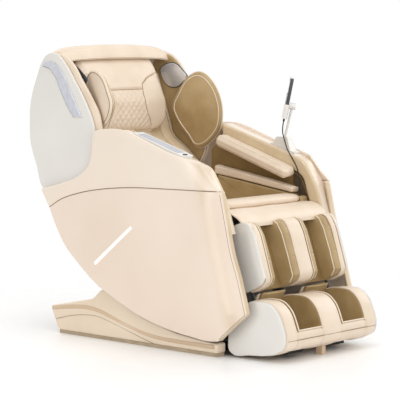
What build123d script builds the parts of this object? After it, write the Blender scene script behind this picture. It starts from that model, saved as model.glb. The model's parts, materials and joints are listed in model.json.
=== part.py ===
"""A full-body massage chair, modelled as the assembly it is.

The chair stands on the floor at Z = 0 and faces -Y; X runs across it, and the origin is on the
floor under the middle of the whole chair. Five groups move against each other: the carriage slides
forward on the base rails, the backrest reclines on the carriage, a roller unit climbs inside the
backrest, the calf rest swings up from the seat front, and the foot rest slides out of the calf rest.
All lengths are in millimetres.
"""
from build123d import *
import os
from math import atan2, cos, degrees, hypot, pi, radians, sin, tan

os.makedirs("parts", exist_ok=True)

# ---------------------------------------------------------------- driving dimensions
PANEL_OUT = 380          # half of the overall width: outer face of the side panels
PANEL_IN = 371
SHELL_OUT = 356          # outer face of the backrest's side shells, which pass inside the panels
SHELL_IN = 343
HOOD_IN = 318
COVER_OUT, COVER_IN = 350, 292      # base side covers
SEAT_HALF = 246
ARM_IN, ARM_WALL = 288, 300         # inner face of the arm rail, and of the wall of the arm channel
CALF_HALF, FOOT_HALF = 275, 305     # outer faces of the calf rest's and foot rest's side covers
CALF_CORE, FOOT_CORE = 263, 292     # inner faces of those covers

HIP = (200, 600)         # recline axis (Y, Z)
KNEE = (-365, 553)       # calf axis (Y, Z)
CALF_TILT = 20           # calf rest's slope from vertical
BACK_TILT = 20           # back cushion's slope from vertical

RAIL_TOP = 76            # top of the base rails
WALL = 5                 # moulded covers
PIN_PLAY = 0.06          # radial clearance of a pin in its bore

CALF_DOWN = (-sin(radians(CALF_TILT)), -cos(radians(CALF_TILT)))   # (Y, Z) along the calf, downwards
CALF_FRONT = (-cos(radians(CALF_TILT)), sin(radians(CALF_TILT)))   # (Y, Z) out of the calf's front
BACK_UP = (sin(radians(BACK_TILT)), cos(radians(BACK_TILT)))
BACK_REAR = (cos(radians(BACK_TILT)), -sin(radians(BACK_TILT)))
CUSHION_FOOT = (455, 850)           # (Y, Z) where the straight part of the back cushion starts


def calf_point(down, front):
    """(Y, Z) of a point given along the calf rest and out of its front, from the knee axis."""
    return (KNEE[0] + down * CALF_DOWN[0] + front * CALF_FRONT[0],
            KNEE[1] + down * CALF_DOWN[1] + front * CALF_FRONT[1])


def back_point(up, rear):
    """(Y, Z) of a point given along the back cushion and behind its front face."""
    return (CUSHION_FOOT[0] + up * BACK_UP[0] + rear * BACK_REAR[0],
            CUSHION_FOOT[1] + up * BACK_UP[1] + rear * BACK_REAR[1])


def hip_point(radius, angle):
    """(Y, Z) at a radius from the recline axis, with the angle in degrees above +Y."""
    return (HIP[0] + radius * cos(radians(angle)), HIP[1] + radius * sin(radians(angle)))


def slab(points, x_from, x_to, rounding=0, mode=Mode.ADD):
    """Adds (or cuts) a slab with a (Y, Z) outline between two X positions."""
    with BuildSketch(Plane.YZ.offset(x_from)) as outline:
        with BuildLine():
            Polyline(*points, close=True)
        make_face()
        if rounding:
            fillet(outline.vertices(), rounding)
    extrude(outline.sketch, amount=x_to - x_from, mode=mode)


def bar_x(radius, x_from, x_to, centre, mode=Mode.ADD):
    """Adds (or cuts) a round bar along X whose axis is at centre (Y, Z)."""
    with BuildSketch(Plane.YZ.offset(x_from)) as section:
        with Locations(centre):
            Circle(radius)
    extrude(section.sketch, amount=x_to - x_from, mode=mode)


def block(x, y, z, mode=Mode.ADD):
    """Adds (or cuts) a box given by its (low, high) limits on each axis."""
    with Locations(((x[0] + x[1]) / 2, (y[0] + y[1]) / 2, (z[0] + z[1]) / 2)):
        Box(x[1] - x[0], y[1] - y[0], z[1] - z[0], mode=mode)


def save(builder, name):
    """Names the piece and writes it as parts/<name>.step."""
    builder.part.label = name
    export_step(builder.part, f"parts/{name}.step")


def save_pair(left, name):
    """Writes the sitter's left piece (+X) and its mirror image as the two solids of one node."""
    with BuildPart() as pair:
        add(left.part)
        mirror(about=Plane.YZ)
    save(pair, name)


# ================================================================ base
with BuildPart() as base_frame:      # welded box tube, open at the ends
    for side in (-1, 1):
        near, far = sorted((side * 240, side * 285))
        block((near, far), (-370, 540), (16, 60))
    for y in (-340, 100, 500):
        block((-242, 242), (y - 20, y + 20), (16, 56))
    for side in (-1, 1):
        near, far = sorted((side * 240, side * 285))
        block((near + 3, far - 3), (-371, 541), (19, 57), mode=Mode.SUBTRACT)
        for bracket in (186, 229):   # ears that hold the wheel axle
            near, far = sorted((side * bracket, side * (bracket + 8)))
            block((near, far), (518, 576), (16, 52))
    bar_x(5 + PIN_PLAY, -250, 250, (562, 27), mode=Mode.SUBTRACT)
    for side in (-1, 1):                # rails for the carriage
        near, far = sorted((side * 200, side * 224))
        block((near, far), (-355, 515), (56, RAIL_TOP))
save(base_frame, "base_frame")

COVER_OUTLINE = [(-386, 14), (545, 14), (563, 53), (589, 101), (586, 120), (330, 172), (282, 216),
                 (254, 218), (124, 160), (25, 119), (-158, 76), (-355, 56), (-386, 58)]
with BuildPart() as base_cover:
    slab(COVER_OUTLINE, COVER_IN, COVER_OUT)
    with BuildSketch(Plane.YZ.offset(COVER_IN)):
        with BuildLine():
            Polyline(*COVER_OUTLINE, close=True)
        make_face()
        offset(amount=-WALL, kind=Kind.INTERSECTION)
    extrude(amount=COVER_OUT - COVER_IN - WALL, mode=Mode.SUBTRACT)
save_pair(base_cover, "base_covers")

INLET = (60, 80)                     # (X, Z) centres of the mains inlet and its switch
with BuildPart() as base_rear_cover:
    block((-182, 182), (541, 583), (56, 118))
    block((-177, 177), (540, 578), (61, 113), mode=Mode.SUBTRACT)
    block((INLET[0] - 18, INLET[0] + 18), (570, 590), (INLET[1] - 14, INLET[1] + 14), mode=Mode.SUBTRACT)
    block((INLET[0] - 58, INLET[0] - 38), (570, 590), (INLET[1] - 14, INLET[1] + 14), mode=Mode.SUBTRACT)
save(base_rear_cover, "base_rear_cover")

with BuildPart() as floor_strips:    # rubber strips that the whole chair stands on
    for side in (-1, 1):
        near, far = sorted((side * 298, side * 344))
        block((near, far), (-380, 538), (0, 14))
save(floor_strips, "floor_strips")

with BuildPart() as slide_drive:     # gear motor with the tube that the screw runs in
    block((-42, 42), (380, 468), (56, 136))
    bar_x(34, 42, 92, (424, 96))
    with BuildSketch(Plane.XZ.offset(-380)):
        with Locations((0, 96)):
            Circle(18)
    extrude(amount=350)
    with BuildSketch(Plane.XZ.offset(-390)):
        with Locations((0, 96)):
            Circle(12 + PIN_PLAY)
    extrude(amount=370, mode=Mode.SUBTRACT)
save(slide_drive, "slide_drive")

with BuildPart() as power_inlet:     # mains socket for a loose lead, with its three blades
    block((INLET[0] - 18, INLET[0] + 18), (560, 585), (INLET[1] - 14, INLET[1] + 14))
    block((INLET[0] - 13, INLET[0] + 13), (567, 590), (INLET[1] - 9, INLET[1] + 9), mode=Mode.SUBTRACT)
    for x, z in ((-7, -3), (0, 4), (7, -3)):
        block((INLET[0] + x - 1, INLET[0] + x + 1), (566, 580), (INLET[1] + z - 2, INLET[1] + z + 2))
save(power_inlet, "power_inlet")

SWITCH_AXIS = (578, INLET[1])
with BuildPart() as power_switch:    # rocker: a half-round that tips about its own axis
    bar_x(10.5, INLET[0] - 56, INLET[0] - 40, SWITCH_AXIS)
    block((INLET[0] - 60, INLET[0] - 36), (560, SWITCH_AXIS[0]), (INLET[1] - 12, INLET[1] + 12),
          mode=Mode.SUBTRACT)
save(power_switch, "power_switch")

with BuildPart() as transport_wheels:
    bar_x(5, -240, 240, (562, 27))
    for side in (-1, 1):
        near, far = sorted((side * 197, side * 226))
        bar_x(22, near, far, (562, 27))
save(transport_wheels, "transport_wheels")

# ================================================================ carriage
with BuildPart() as seat_frame:
    for side in (-1, 1):
        def across(near, far):
            return tuple(sorted((side * near, side * far)))
        block(across(198, 226), (-300, 300), (RAIL_TOP + 0.5, 124))      # sliding shoes and lower rail
        block(across(200, 240), (-326, 176), (440, 480))                  # upper rail
        for y in (-260, 110):                                             # posts and outriggers
            block(across(200, 226), (y, y + 40), (122, 442))
            block(across(238, PANEL_IN), (y + 4, y + 36), (445, 475))
        slab([(116, 446), (186, 446), (222, 585), (218, 622), (182, 622), (162, 560), (148, 475), (116, 475)],
             across(270, 278)[0], across(270, 278)[1])                    # recline brackets
        slab([(-300, 440), (-300, 479), (-334, 481), (-347, 553), (-356, 569), (-374, 569),
              (-383, 553), (-381, 530), (-350, 468), (-330, 440)],
             across(215, 223)[0], across(215, 223)[1])                    # calf brackets
    for y in (-240, 130):
        block((-202, 202), (y - 18, y + 18), (444, 476))
    block((-200, 200), (-200, 130), (118, 124))                           # tray for pump and control box
    block((-30, 30), (-140, -110), (80, 120))                             # lug that the screw pushes
    bar_x(12 + PIN_PLAY, -300, 300, HIP, mode=Mode.SUBTRACT)
    bar_x(10 + PIN_PLAY, -300, 300, KNEE, mode=Mode.SUBTRACT)
save(seat_frame, "seat_frame")

with BuildPart() as slide_screw:
    with BuildSketch(Plane.XZ.offset(-230)):
        with Locations((0, 96)):
            Circle(12)
    extrude(amount=340)
save(slide_screw, "slide_screw")

# Outlines of the side panels, shared corner by corner
REAR_TOP = (616, 628)
SEAM_REAR = (566, 552)
SEAM_FRONT = (-408, 676)
TAIL = (260, 228)
TOE = (-407, 70)
NOSE = (-545, 190)


def lower_panel_outline():
    """Closed outline: seam, front edge, chin, bottom edge and the rear edge about the hip."""
    Spline(SEAM_REAR, (376, 626), (100, 664), (-150, 672), SEAM_FRONT)
    Spline(SEAM_FRONT, (-440, 540), (-500, 340), NOSE)
    Line(NOSE, TOE)
    Spline(TOE, (-355, 64), (-158, 84), (25, 128), TAIL)
    Spline(TAIL, (465, 387), SEAM_REAR)


def upper_panel_outline(gap=1.5):
    """Closed outline above the seam: arm top, front bevel and the step the side shell dips behind."""
    rear, front = (SEAM_REAR[0], SEAM_REAR[1] + gap), (SEAM_FRONT[0], SEAM_FRONT[1] + gap)
    Spline(rear, (376, 626 + gap), (100, 664 + gap), (-150, 672 + gap), front)
    Polyline(front, (-360, 715), (-300, 782), (-220, 804))
    Spline((-220, 804), (5, 872), (150, 909), (286, 896))
    Spline((286, 896), (304, 800), (378, 702), (477, 666), REAR_TOP)
    Line(REAR_TOP, rear)


with BuildPart() as side_panel_lower:
    with BuildSketch(Plane.YZ.offset(PANEL_IN)):
        with BuildLine():
            lower_panel_outline()
        make_face()
    extrude(amount=PANEL_OUT - PANEL_IN)
save_pair(side_panel_lower, "side_panels_lower")

with BuildPart() as side_panel_upper:
    with BuildSketch(Plane.YZ.offset(PANEL_IN)):
        with BuildLine():
            upper_panel_outline()
        make_face()
    extrude(amount=PANEL_OUT - PANEL_IN)
save_pair(side_panel_upper, "side_panels_upper")

LIGHT_ENDS = ((282, 330), (66, 500))
LIGHT_WIDTH = 12
light_length = hypot(LIGHT_ENDS[1][0] - LIGHT_ENDS[0][0], LIGHT_ENDS[1][1] - LIGHT_ENDS[0][1])
light_angle = degrees(atan2(LIGHT_ENDS[1][1] - LIGHT_ENDS[0][1], LIGHT_ENDS[1][0] - LIGHT_ENDS[0][0]))
light_middle = ((LIGHT_ENDS[0][0] + LIGHT_ENDS[1][0]) / 2, (LIGHT_ENDS[0][1] + LIGHT_ENDS[1][1]) / 2)
with BuildPart() as side_lights:     # light bars on the outside of both side panels
    with BuildSketch(Plane.YZ.offset(PANEL_OUT)):
        with Locations(Location((light_middle[0], light_middle[1], 0), (0, 0, light_angle))):
            Rectangle(light_length, LIGHT_WIDTH)
    extrude(amount=2)
    mirror(about=Plane.YZ)
save(side_lights, "side_lights")

ARM_REAR = 146                       # rear end of the arms, clear of the shoulder wings
ARM_TOP = [(ARM_REAR, 904), (-262, 780), (-300, 768), (-352, 706), (-392, 640), (-440, 500)]
ARM_UNDER = [(-374, 500), (-338, 620), (-302, 700), (-264, 718), (ARM_REAR, 852)]
with BuildPart() as arm_rail:        # upholstered beam over the arm and down its front
    slab(ARM_TOP + ARM_UNDER, ARM_IN, PANEL_IN)
    slab([(ARM_REAR, 862), (ARM_REAR, 904), (272, 897), (280, 872)], 346, PANEL_IN)     # clears the wing
save_pair(arm_rail, "arm_rails")

SHELF_TOP = 612                      # shelf in front of the lower arm pad, where the cord comes out
with BuildPart() as arm_inner_walls:
    for side in (-1, 1):
        low, high = sorted((side * 252, side * ARM_WALL))
        slab([(145, 482), (145, 680), (-282, 621), (-284, SHELF_TOP), (-330, SHELF_TOP), (-345, 530),
              (-333, 482)], low, high)
        low, high = sorted((side * ARM_WALL, side * 316))
        slab([(145, 482), (145, 846), (-258, 714), (-294, 696), (-330, 618), (-362, 505), (-362, 482)],
             low, high)
save(arm_inner_walls, "arm_inner_walls")

FLAP_SLOPE = 18
flap_plane = Plane(origin=(0, 140, 853), x_dir=(1, 0, 0),
                   z_dir=(0, -cos(radians(FLAP_SLOPE)), -sin(radians(FLAP_SLOPE))))
with BuildPart() as arm_upper_pads:  # flap that presses the forearm from above
    with BuildSketch(flap_plane):
        with BuildLine():
            Polyline((299, -5), (299, -26), (240, -40), (226, -30), (224, -6), (236, 10), (286, 12), (286, -5),
                     close=True)
        make_face()
        mirror(about=Plane.YZ)
    extrude(amount=435)
save(arm_upper_pads, "arm_upper_pads")

with BuildPart() as arm_lower_pads:
    for side in (-1, 1):
        low, high = sorted((side * 252, side * (ARM_WALL - 1)))
        slab([(165, 684), (165, 712), (-280, 650), (-287, 643), (-287, 628), (-281, 622), (145, 681)], low, high)
save(arm_lower_pads, "arm_lower_pads")

with BuildPart() as seat_cushion:
    slab([(130, 481), (130, 560), (-236, 598), (-236, 583), (-331, 583), (-331, 481)], -SEAT_HALF, SEAT_HALF)
save(seat_cushion, "seat_cushion")

with BuildPart() as seat_front_roll:
    slab([(-237, 584), (-237, 626), (-349, 626), (-349, 584)], -SEAT_HALF - 4, SEAT_HALF + 4, rounding=19)
save(seat_front_roll, "seat_front_roll")

COVER_ARC = (328, 334)               # radii about the hip of the fixed cover behind the seat
with BuildPart() as rear_lower_cover:
    with BuildSketch(Plane.YZ.offset(-308)):
        with BuildLine():
            ThreePointArc(*(hip_point(COVER_ARC[0], a) for a in (-28, -50, -75)))
            Line(hip_point(COVER_ARC[0], -75), hip_point(COVER_ARC[1], -75))
            ThreePointArc(*(hip_point(COVER_ARC[1], a) for a in (-75, -50, -28)))
            Line(hip_point(COVER_ARC[1], -28), hip_point(COVER_ARC[0], -28))
        make_face()
    extrude(amount=616)
save(rear_lower_cover, "rear_lower_cover")

with BuildPart() as hinge_gearboxes:  # flat gearboxes on the recline pin and the calf pin
    bar_x(29, 239, 270, HIP)
    bar_x(12 + PIN_PLAY, 239, 270, HIP, mode=Mode.SUBTRACT)
    bar_x(22, 182, 215, KNEE)
    bar_x(10 + PIN_PLAY, 182, 215, KNEE, mode=Mode.SUBTRACT)
save(hinge_gearboxes, "hinge_gearboxes")

with BuildPart() as air_pump:        # diaphragm pump for the air cells
    block((-185, -35), (-150, -20), (124, 240))
    bar_x(34, -175, -45, (30, 162))
save(air_pump, "air_pump")

with BuildPart() as control_box:
    block((25, 190), (-150, 70), (124, 200))
save(control_box, "control_box")

# Control panel on the sitter's right arm (-X), lying on the arm's slope
ARM_SLOPE = degrees(atan2(904 - 780, ARM_REAR + 262))
arm_plane = Plane(origin=(0, -65, 904 - (ARM_REAR + 65) * tan(radians(ARM_SLOPE))), x_dir=(1, 0, 0),
                  z_dir=(0, -sin(radians(ARM_SLOPE)), cos(radians(ARM_SLOPE))))
PANEL_X = -330
with BuildPart() as control_panel:
    with BuildSketch(arm_plane):
        with Locations((PANEL_X, 0)):
            RectangleRounded(68, 300, 12)
    extrude(amount=13)
    with BuildSketch(arm_plane.offset(11)):
        with Locations((PANEL_X, 10)):
            RectangleRounded(50, 236, 6)
    extrude(amount=3, mode=Mode.SUBTRACT)
    with BuildSketch(arm_plane.offset(9)):
        with Locations((PANEL_X, -130)):
            SlotOverall(27, 13)
    extrude(amount=5, mode=Mode.SUBTRACT)
save(control_panel, "control_panel")

with BuildPart() as control_screen:
    with BuildSketch(arm_plane.offset(11)):
        with Locations((PANEL_X, 10)):
            RectangleRounded(49.4, 235.4, 5.7)
    extrude(amount=1.5)
save(control_screen, "control_screen")

with BuildPart() as panel_key:       # push key at the front of the panel
    with BuildSketch(arm_plane.offset(11)):
        with Locations((PANEL_X, -130)):
            SlotOverall(25, 11)
    extrude(amount=4)
save(panel_key, "panel_key")

# Handset on a post that stands on the sitter's left arm (+X). It faces the sitter.
POST_X = 330
POST_FOOT, POST_HEAD = (-176, 850), (-214, 976)       # (Y, Z)
FACING = (0.669, -0.743)                              # (X, Y) behind the handset, away from the sitter
HANDSET_LEAN = 11
lean = radians(HANDSET_LEAN)
handset_up = Vector(FACING[0] * sin(lean), FACING[1] * sin(lean), cos(lean))
handset_side = Vector(-FACING[1], FACING[0], 0)
handset_back = handset_side.cross(handset_up)
HANDSET_FOOT = Vector(322, -180, 938)
PLUG_FACE = -14                      # where the cord meets the handset's strain relief

with BuildPart() as holder_bracket:
    slab([(-112, 829), (-128, 829), (-146, 858), (-206, 858), (-224, 800), (-246, 795), (-246, 787),
          (-112, 827)], POST_X - 20, POST_X + 20)
    slab([(-112, 827), (-246, 787), (-246, 700), (-112, 700)], POST_X - 30, POST_X + 30, mode=Mode.SUBTRACT)

post_axis = Vector(0, POST_HEAD[0] - POST_FOOT[0], POST_HEAD[1] - POST_FOOT[1])
POST_START = Vector(POST_X, POST_FOOT[0], POST_FOOT[1])
post_plane = Plane(origin=POST_START + post_axis.normalized() * 6, z_dir=post_axis)
with BuildPart() as holder_post:     # the bracket and the rod welded to it
    add(holder_bracket.part)
    with BuildSketch(post_plane):
        Circle(5.5)
    extrude(amount=post_axis.length - 6)
save(holder_post, "holder_post")

knob_plane = Plane(origin=POST_START + post_axis.normalized() * (post_axis.length + 16),
                   x_dir=handset_side, z_dir=handset_back)
with BuildPart() as holder_knob:     # clamp knob on the post's head, turned from behind
    with BuildSketch(knob_plane.offset(-12)):
        Circle(15)
    extrude(amount=26)
save(holder_knob, "holder_knob")

cradle_plane = Plane(origin=HANDSET_FOOT, x_dir=handset_side, z_dir=handset_up)
with BuildPart() as handset_cradle:  # open-topped sleeve round the lower third of the handset
    with BuildSketch(cradle_plane):
        RectangleRounded(92, 22, 6)
    extrude(amount=62)
    with BuildSketch(cradle_plane.offset(4)):
        RectangleRounded(86.4, 16.4, 4)
    extrude(amount=60, mode=Mode.SUBTRACT)
    with BuildSketch(cradle_plane.offset(-1)):
        Circle(6)
    extrude(amount=8, mode=Mode.SUBTRACT)
save(handset_cradle, "handset_cradle")

with BuildPart() as handset:
    with BuildSketch(cradle_plane.offset(4.2)):
        RectangleRounded(85.6, 15.6, 3.5)
    extrude(amount=178)
    with BuildSketch(cradle_plane.offset(4.2)):      # strain relief, through the cradle's floor
        Circle(4.5)
    extrude(amount=PLUG_FACE - 4.2)
save(handset, "handset")

CORD_RADIUS = 2.5
CORD_GLAND = (276, -305)             # (X, Y) on the shelf inside the left arm
GLAND_TOP = SHELF_TOP + 10
with BuildPart() as cord_gland:
    with BuildSketch(Plane.XY.offset(SHELF_TOP)):
        with Locations(CORD_GLAND):
            Circle(6)
    extrude(amount=GLAND_TOP - SHELF_TOP)
save(cord_gland, "cord_gland")

cord_end = HANDSET_FOOT + handset_up * PLUG_FACE
CORD_ROUTE = [(CORD_GLAND[0], CORD_GLAND[1], GLAND_TOP), (276, -305, 655), (278, -300, 696), (279, -287, 735),
              (280, -256, 775), (286, -224, 813), (299, -200, 849), (315.36, -172.63, 886.96),
              (cord_end.X, cord_end.Y, cord_end.Z)]


def bend_radii(route):
    """The largest smooth radius at each inner point of a route of straight runs."""
    radii = []
    for before, here, after in zip(route, route[1:], route[2:]):
        run_in = Vector(*here) - Vector(*before)
        run_out = Vector(*after) - Vector(*here)
        half_turn = radians(run_in.get_angle(run_out)) / 2
        radii.append(0.45 * min(run_in.length, run_out.length) / tan(half_turn))
    return radii


print("cord radii", [round(radius) for radius in bend_radii(CORD_ROUTE)])
with BuildPart() as handset_cord:
    with BuildLine() as cord_path:
        FilletPolyline(*CORD_ROUTE, radius=bend_radii(CORD_ROUTE))
    with BuildSketch(Plane(origin=cord_path.line @ 0, z_dir=cord_path.line % 0)):
        Circle(CORD_RADIUS)
    sweep()
cord_length = sum(edge.length for edge in cord_path.edges())
print("cord length", round(cord_length), "volume", round(handset_cord.part.volume),
      "section times length", round(pi * CORD_RADIUS**2 * cord_length))
save(handset_cord, "handset_cord")

# ================================================================ backrest
with BuildPart() as back_frame:
    for side in (-1, 1):
        near, far = sorted((side * 280, side * 287))
        slab([(170, 580), (214, 566), (340, 604), (500, 715), (590, 900), (632, 1050), (632, 1082),
              (600, 1082), (545, 905), (465, 752), (330, 655), (225, 636), (176, 628)], near, far)
        near, far = sorted((side * 242, side * 292))
        bar_x(12, near, far, HIP)
    block((-281, 281), (600, 628), (1054, 1080))
    block((-281, 281), (470, 500), (702, 728))
save(back_frame, "back_frame")

REAR_OUTLINE = [(672, 1100), (684, 1072), (705, 1001), (711, 926), (706, 825), (670, 729), (626, 626)]
REAR_SKIRT = hip_point(345, -24)     # lower edge, which passes behind the fixed rear cover
with BuildPart() as rear_cover:      # moulded shell over the whole back
    with BuildSketch(Plane.YZ.offset(-SHELL_IN)):
        with BuildLine():
            Spline(*REAR_OUTLINE)
            Line(REAR_OUTLINE[-1], REAR_SKIRT)
            Line(REAR_SKIRT, (REAR_SKIRT[0] - 4, REAR_SKIRT[1] + 2))
            Line((REAR_SKIRT[0] - 4, REAR_SKIRT[1] + 2), (REAR_OUTLINE[-1][0] - 5, REAR_OUTLINE[-1][1] + 2))
            Spline((REAR_OUTLINE[-1][0] - 5, REAR_OUTLINE[-1][1] + 2), *((y - WALL, z) for y, z in REAR_OUTLINE[-2::-1]))
            Line((REAR_OUTLINE[0][0] - WALL, REAR_OUTLINE[0][1]), REAR_OUTLINE[0])
        make_face()
    extrude(amount=2 * SHELL_IN)
save(rear_cover, "rear_cover")

with BuildPart() as back_side_shell:
    with BuildSketch(Plane.YZ.offset(SHELL_IN)):
        with BuildLine():
            Spline(*REAR_OUTLINE[:0:-1], (655, 1138), (632, 1182), (604, 1212), (570, 1225), (532, 1217))
            Spline((532, 1217), (489, 1183), (428, 1107), (367, 1023), (326, 952), (311, 893))
            Spline((311, 893), (330, 760), (440, 640))
            Line((440, 640), (626, 626))
        make_face()
    extrude(amount=SHELL_OUT - SHELL_IN)
save_pair(back_side_shell, "back_side_shells")

with BuildPart() as accent_strips:   # silver strips let into the side shells' outer faces
    with BuildSketch(Plane.YZ.offset(SHELL_OUT)):
        with BuildLine():
            Spline((616, 1181), (584, 1186), (540, 1178), (497, 1140), (449, 1064), (394, 971))
            Polyline((394, 971), (378, 947), (431, 946))
            Spline((431, 946), (462, 986), (510, 1062), (547, 1126), (584, 1156), (620, 1164))
            Line((620, 1164), (616, 1181))
        make_face()
    extrude(amount=3)
    mirror(about=Plane.YZ)
save(accent_strips, "accent_strips")

with BuildPart() as wall_pad:        # padded inside of the backrest's side walls
    with BuildSketch(Plane.YZ.offset(HOOD_IN)):
        with BuildLine():
            Spline((602, 1180), (570, 1203), (532, 1205))
            Spline((532, 1205), (489, 1178), (424, 1102), (360, 1020), (318, 952), (303, 893))
            Spline((303, 893), (328, 762), (440, 650))
            Polyline((440, 650), (540, 860), (596, 1082), (602, 1180))
        make_face()
    extrude(amount=SHELL_IN - HOOD_IN)
save_pair(wall_pad, "wall_pads")

HOOD_PROFILE = [(518, 1206), (522, 1236), (556, 1256), (602, 1250), (634, 1210), (652, 1158), (672, 1101),
                (606, 1101), (604, 1206)]
with BuildPart() as hood:            # padded cap that joins the two walls over the head
    slab(HOOD_PROFILE, -SHELL_IN, SHELL_IN)
    with BuildSketch(Plane.XZ.offset(-700)):
        with BuildLine():
            Spline((-SHELL_IN, 1188), (-338, 1214), (-314, 1234), (-230, 1248), (0, 1256), (230, 1248),
                   (314, 1234), (338, 1214), (SHELL_IN, 1188))
            Polyline((SHELL_IN, 1188), (SHELL_IN, 1090), (-SHELL_IN, 1090), (-SHELL_IN, 1188))
        make_face()
    extrude(amount=300, mode=Mode.INTERSECT)
    for side in (-1, 1):             # room for the wall pads
        near, far = sorted((side * HOOD_IN, side * (SHELL_IN + 1)))
        block((near, far), (500, 603), (1090, 1209), mode=Mode.SUBTRACT)
save(hood, "hood")

with BuildPart() as speaker:         # silver speaker shell on the inside of each wall, by the ear
    with BuildSketch(Plane.YZ.offset(HOOD_IN - 8)):
        with BuildLine():
            Spline((380, 1108), (454, 1170), (504, 1172), (560, 1140))
            Spline((560, 1140), (517, 1064), (442, 1055), (380, 1108))
        make_face()
    extrude(amount=8)
save_pair(speaker, "speakers")

WING_PIVOT = (308, 303)              # (X, Y) where a wing's middle plane passes the front of its wall
WING_TURN = 12                       # degrees that the wing flares outwards towards its front
WING_HALF, WING_BUMP = 9, 40         # half thickness, and how far the air cell bulges inwards
turn = radians(WING_TURN)
wing_plane = Plane(origin=(*WING_PIVOT, 0), x_dir=(-sin(turn), cos(turn), 0), z_dir=(cos(turn), sin(turn), 0))
WING_OUTLINE = [(-3, 1128), (-65, 1086), (-106, 1016), (-117, 940), (-107, 878), (-67, 830), (-3, 792),
                (42, 838), (115, 925), (135, 972), (107, 1030), (53, 1094)]      # (behind the pivot, up)
BUMP_OUTLINE = [(0, 1062), (-60, 1000), (-80, 935), (-62, 880), (0, 842), (40, 885), (87, 955), (66, 1018)]
with BuildPart() as shoulder_wing:
    for outline, start, thickness in ((WING_OUTLINE, -WING_HALF, 2 * WING_HALF),
                                      (BUMP_OUTLINE, -WING_BUMP, WING_BUMP - WING_HALF)):
        with BuildSketch(wing_plane.offset(start)) as section:
            with BuildLine():
                Polyline(*outline, close=True)
            make_face()
        extrude(section.sketch, amount=thickness)
save_pair(shoulder_wing, "shoulder_wings")

BACK_PAD = 40                        # thickness of the cushion over the roller unit
SIDE_PAD = [(240, 676), (300, 726), (380, 790), (462, 852), back_point(60, 6), back_point(300, 6),
            back_point(300, 38), back_point(60, 38), (492, 826), (400, 762), (325, 702), (262, 650)]
with BuildPart() as back_cushion:    # one cushion with a bolster down each side
    slab([(178, 632), CUSHION_FOOT, back_point(325, 0), back_point(325, BACK_PAD), back_point(-8, BACK_PAD),
          (462, 810), (206, 601)], -236, 236)
    for side in (-1, 1):
        near, far = sorted((side * 235, side * 306))
        slab(SIDE_PAD, near, far)
save(back_cushion, "back_cushion")

with BuildPart() as head_pad:        # loose pad that hangs over the back cushion
    slab([back_point(18, -0.5), (444, 872), (433, 921), (433, 1003), (478, 1092), (508, 1155), (538, 1188),
          (560, 1202), (583, 1202), back_point(326, -0.5)], -240, 240)
save(head_pad, "head_pad")

RAIL_FRONT, RAIL_REAR = 46, 58       # roller rails, measured behind the cushion's front face
with BuildPart() as roller_rails:
    for side in (-1, 1):
        near, far = sorted((side * 150, side * 162))
        slab([back_point(-92, RAIL_FRONT), back_point(262, RAIL_FRONT), back_point(262, RAIL_REAR),
              back_point(-92, RAIL_REAR)], near, far)
        slab([back_point(236, RAIL_REAR), back_point(262, RAIL_REAR), (600, 1078), (600, 1056)], near, far)
        slab([back_point(-92, RAIL_REAR), back_point(-72, RAIL_REAR), (500, 728), (472, 728)], near, far)
save(roller_rails, "roller_rails")

# Roller unit: a carriage on the rails, a rocking yoke in it, and two pairs of rollers on the yoke
YOKE_AXIS = back_point(0, 84)
ROLLER_SHAFTS = {"upper": back_point(44, 66), "lower": back_point(-44, 66)}
with BuildPart() as roller_carriage:
    for side in (-1, 1):
        near, far = sorted((side * 128, side * 138))
        slab([back_point(-58, RAIL_REAR + 2), back_point(58, RAIL_REAR + 2), back_point(58, 104),
              back_point(-58, 104)], near, far)
        near, far = sorted((side * 136, side * 166))
        slab([back_point(-58, RAIL_REAR + 0.5), back_point(58, RAIL_REAR + 0.5), back_point(58, 70),
              back_point(-58, 70)], near, far)
    slab([back_point(-58, 99), back_point(58, 99), back_point(58, 104), back_point(-58, 104)], -130, 130)
    slab([back_point(-40, 104), back_point(40, 104), back_point(40, 128), back_point(-40, 128)], -70, 70)
    bar_x(6 + PIN_PLAY, -140, 140, YOKE_AXIS, mode=Mode.SUBTRACT)
save(roller_carriage, "roller_carriage")

with BuildPart() as roller_yoke:
    bar_x(6, -137, 137, YOKE_AXIS)
    for side in (-1, 1):
        near, far = sorted((side * 62, side * 70))
        slab([back_point(-54, 60), back_point(54, 60), back_point(54, 74), back_point(12, 92),
              back_point(-12, 92), back_point(-54, 74)], near, far)
    for shaft in ROLLER_SHAFTS.values():
        bar_x(4 + PIN_PLAY, -80, 80, shaft, mode=Mode.SUBTRACT)
save(roller_yoke, "roller_yoke")

for place, shaft in ROLLER_SHAFTS.items():
    with BuildPart() as rollers:
        bar_x(4, -96, 96, shaft)
        for side in (-1, 1):
            near, far = sorted((side * 74, side * 94))
            bar_x(14, near, far, shaft)
    save(rollers, f"{place}_rollers")

# ================================================================ calf rest
with BuildPart() as calf_frame:
    slab([calf_point(44, -4), calf_point(44, 0), calf_point(300, 0), calf_point(300, -4)], -262.5, 262.5)
    for low in (-196, -86, 80, 190):    # ribs that carry the pads
        slab([calf_point(44, 0), calf_point(44, 19), calf_point(300, 19), calf_point(300, 0)], low, low + 6)
    for side in (-1, 1):
        near, far = sorted((side * 225, side * 233))
        slab([calf_point(-14, -10), calf_point(-14, 10), calf_point(0, 17), calf_point(48, 10),
              calf_point(48, -4), calf_point(0, -15)], near, far)
        near, far = sorted((side * 184, side * 234))
        bar_x(10, near, far, KNEE)
        near, far = sorted((side * 236, side * 250))      # sleeves for the foot rest's tubes
        slab([calf_point(60, 0), calf_point(290, 0), calf_point(290, 18), calf_point(60, 18)], near, far)
        slab([calf_point(55, 3), calf_point(295, 3), calf_point(295, 15), calf_point(55, 15)],
             min(near, far) + 2, max(near, far) - 2, mode=Mode.SUBTRACT)
save(calf_frame, "calf_frame")

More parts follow.
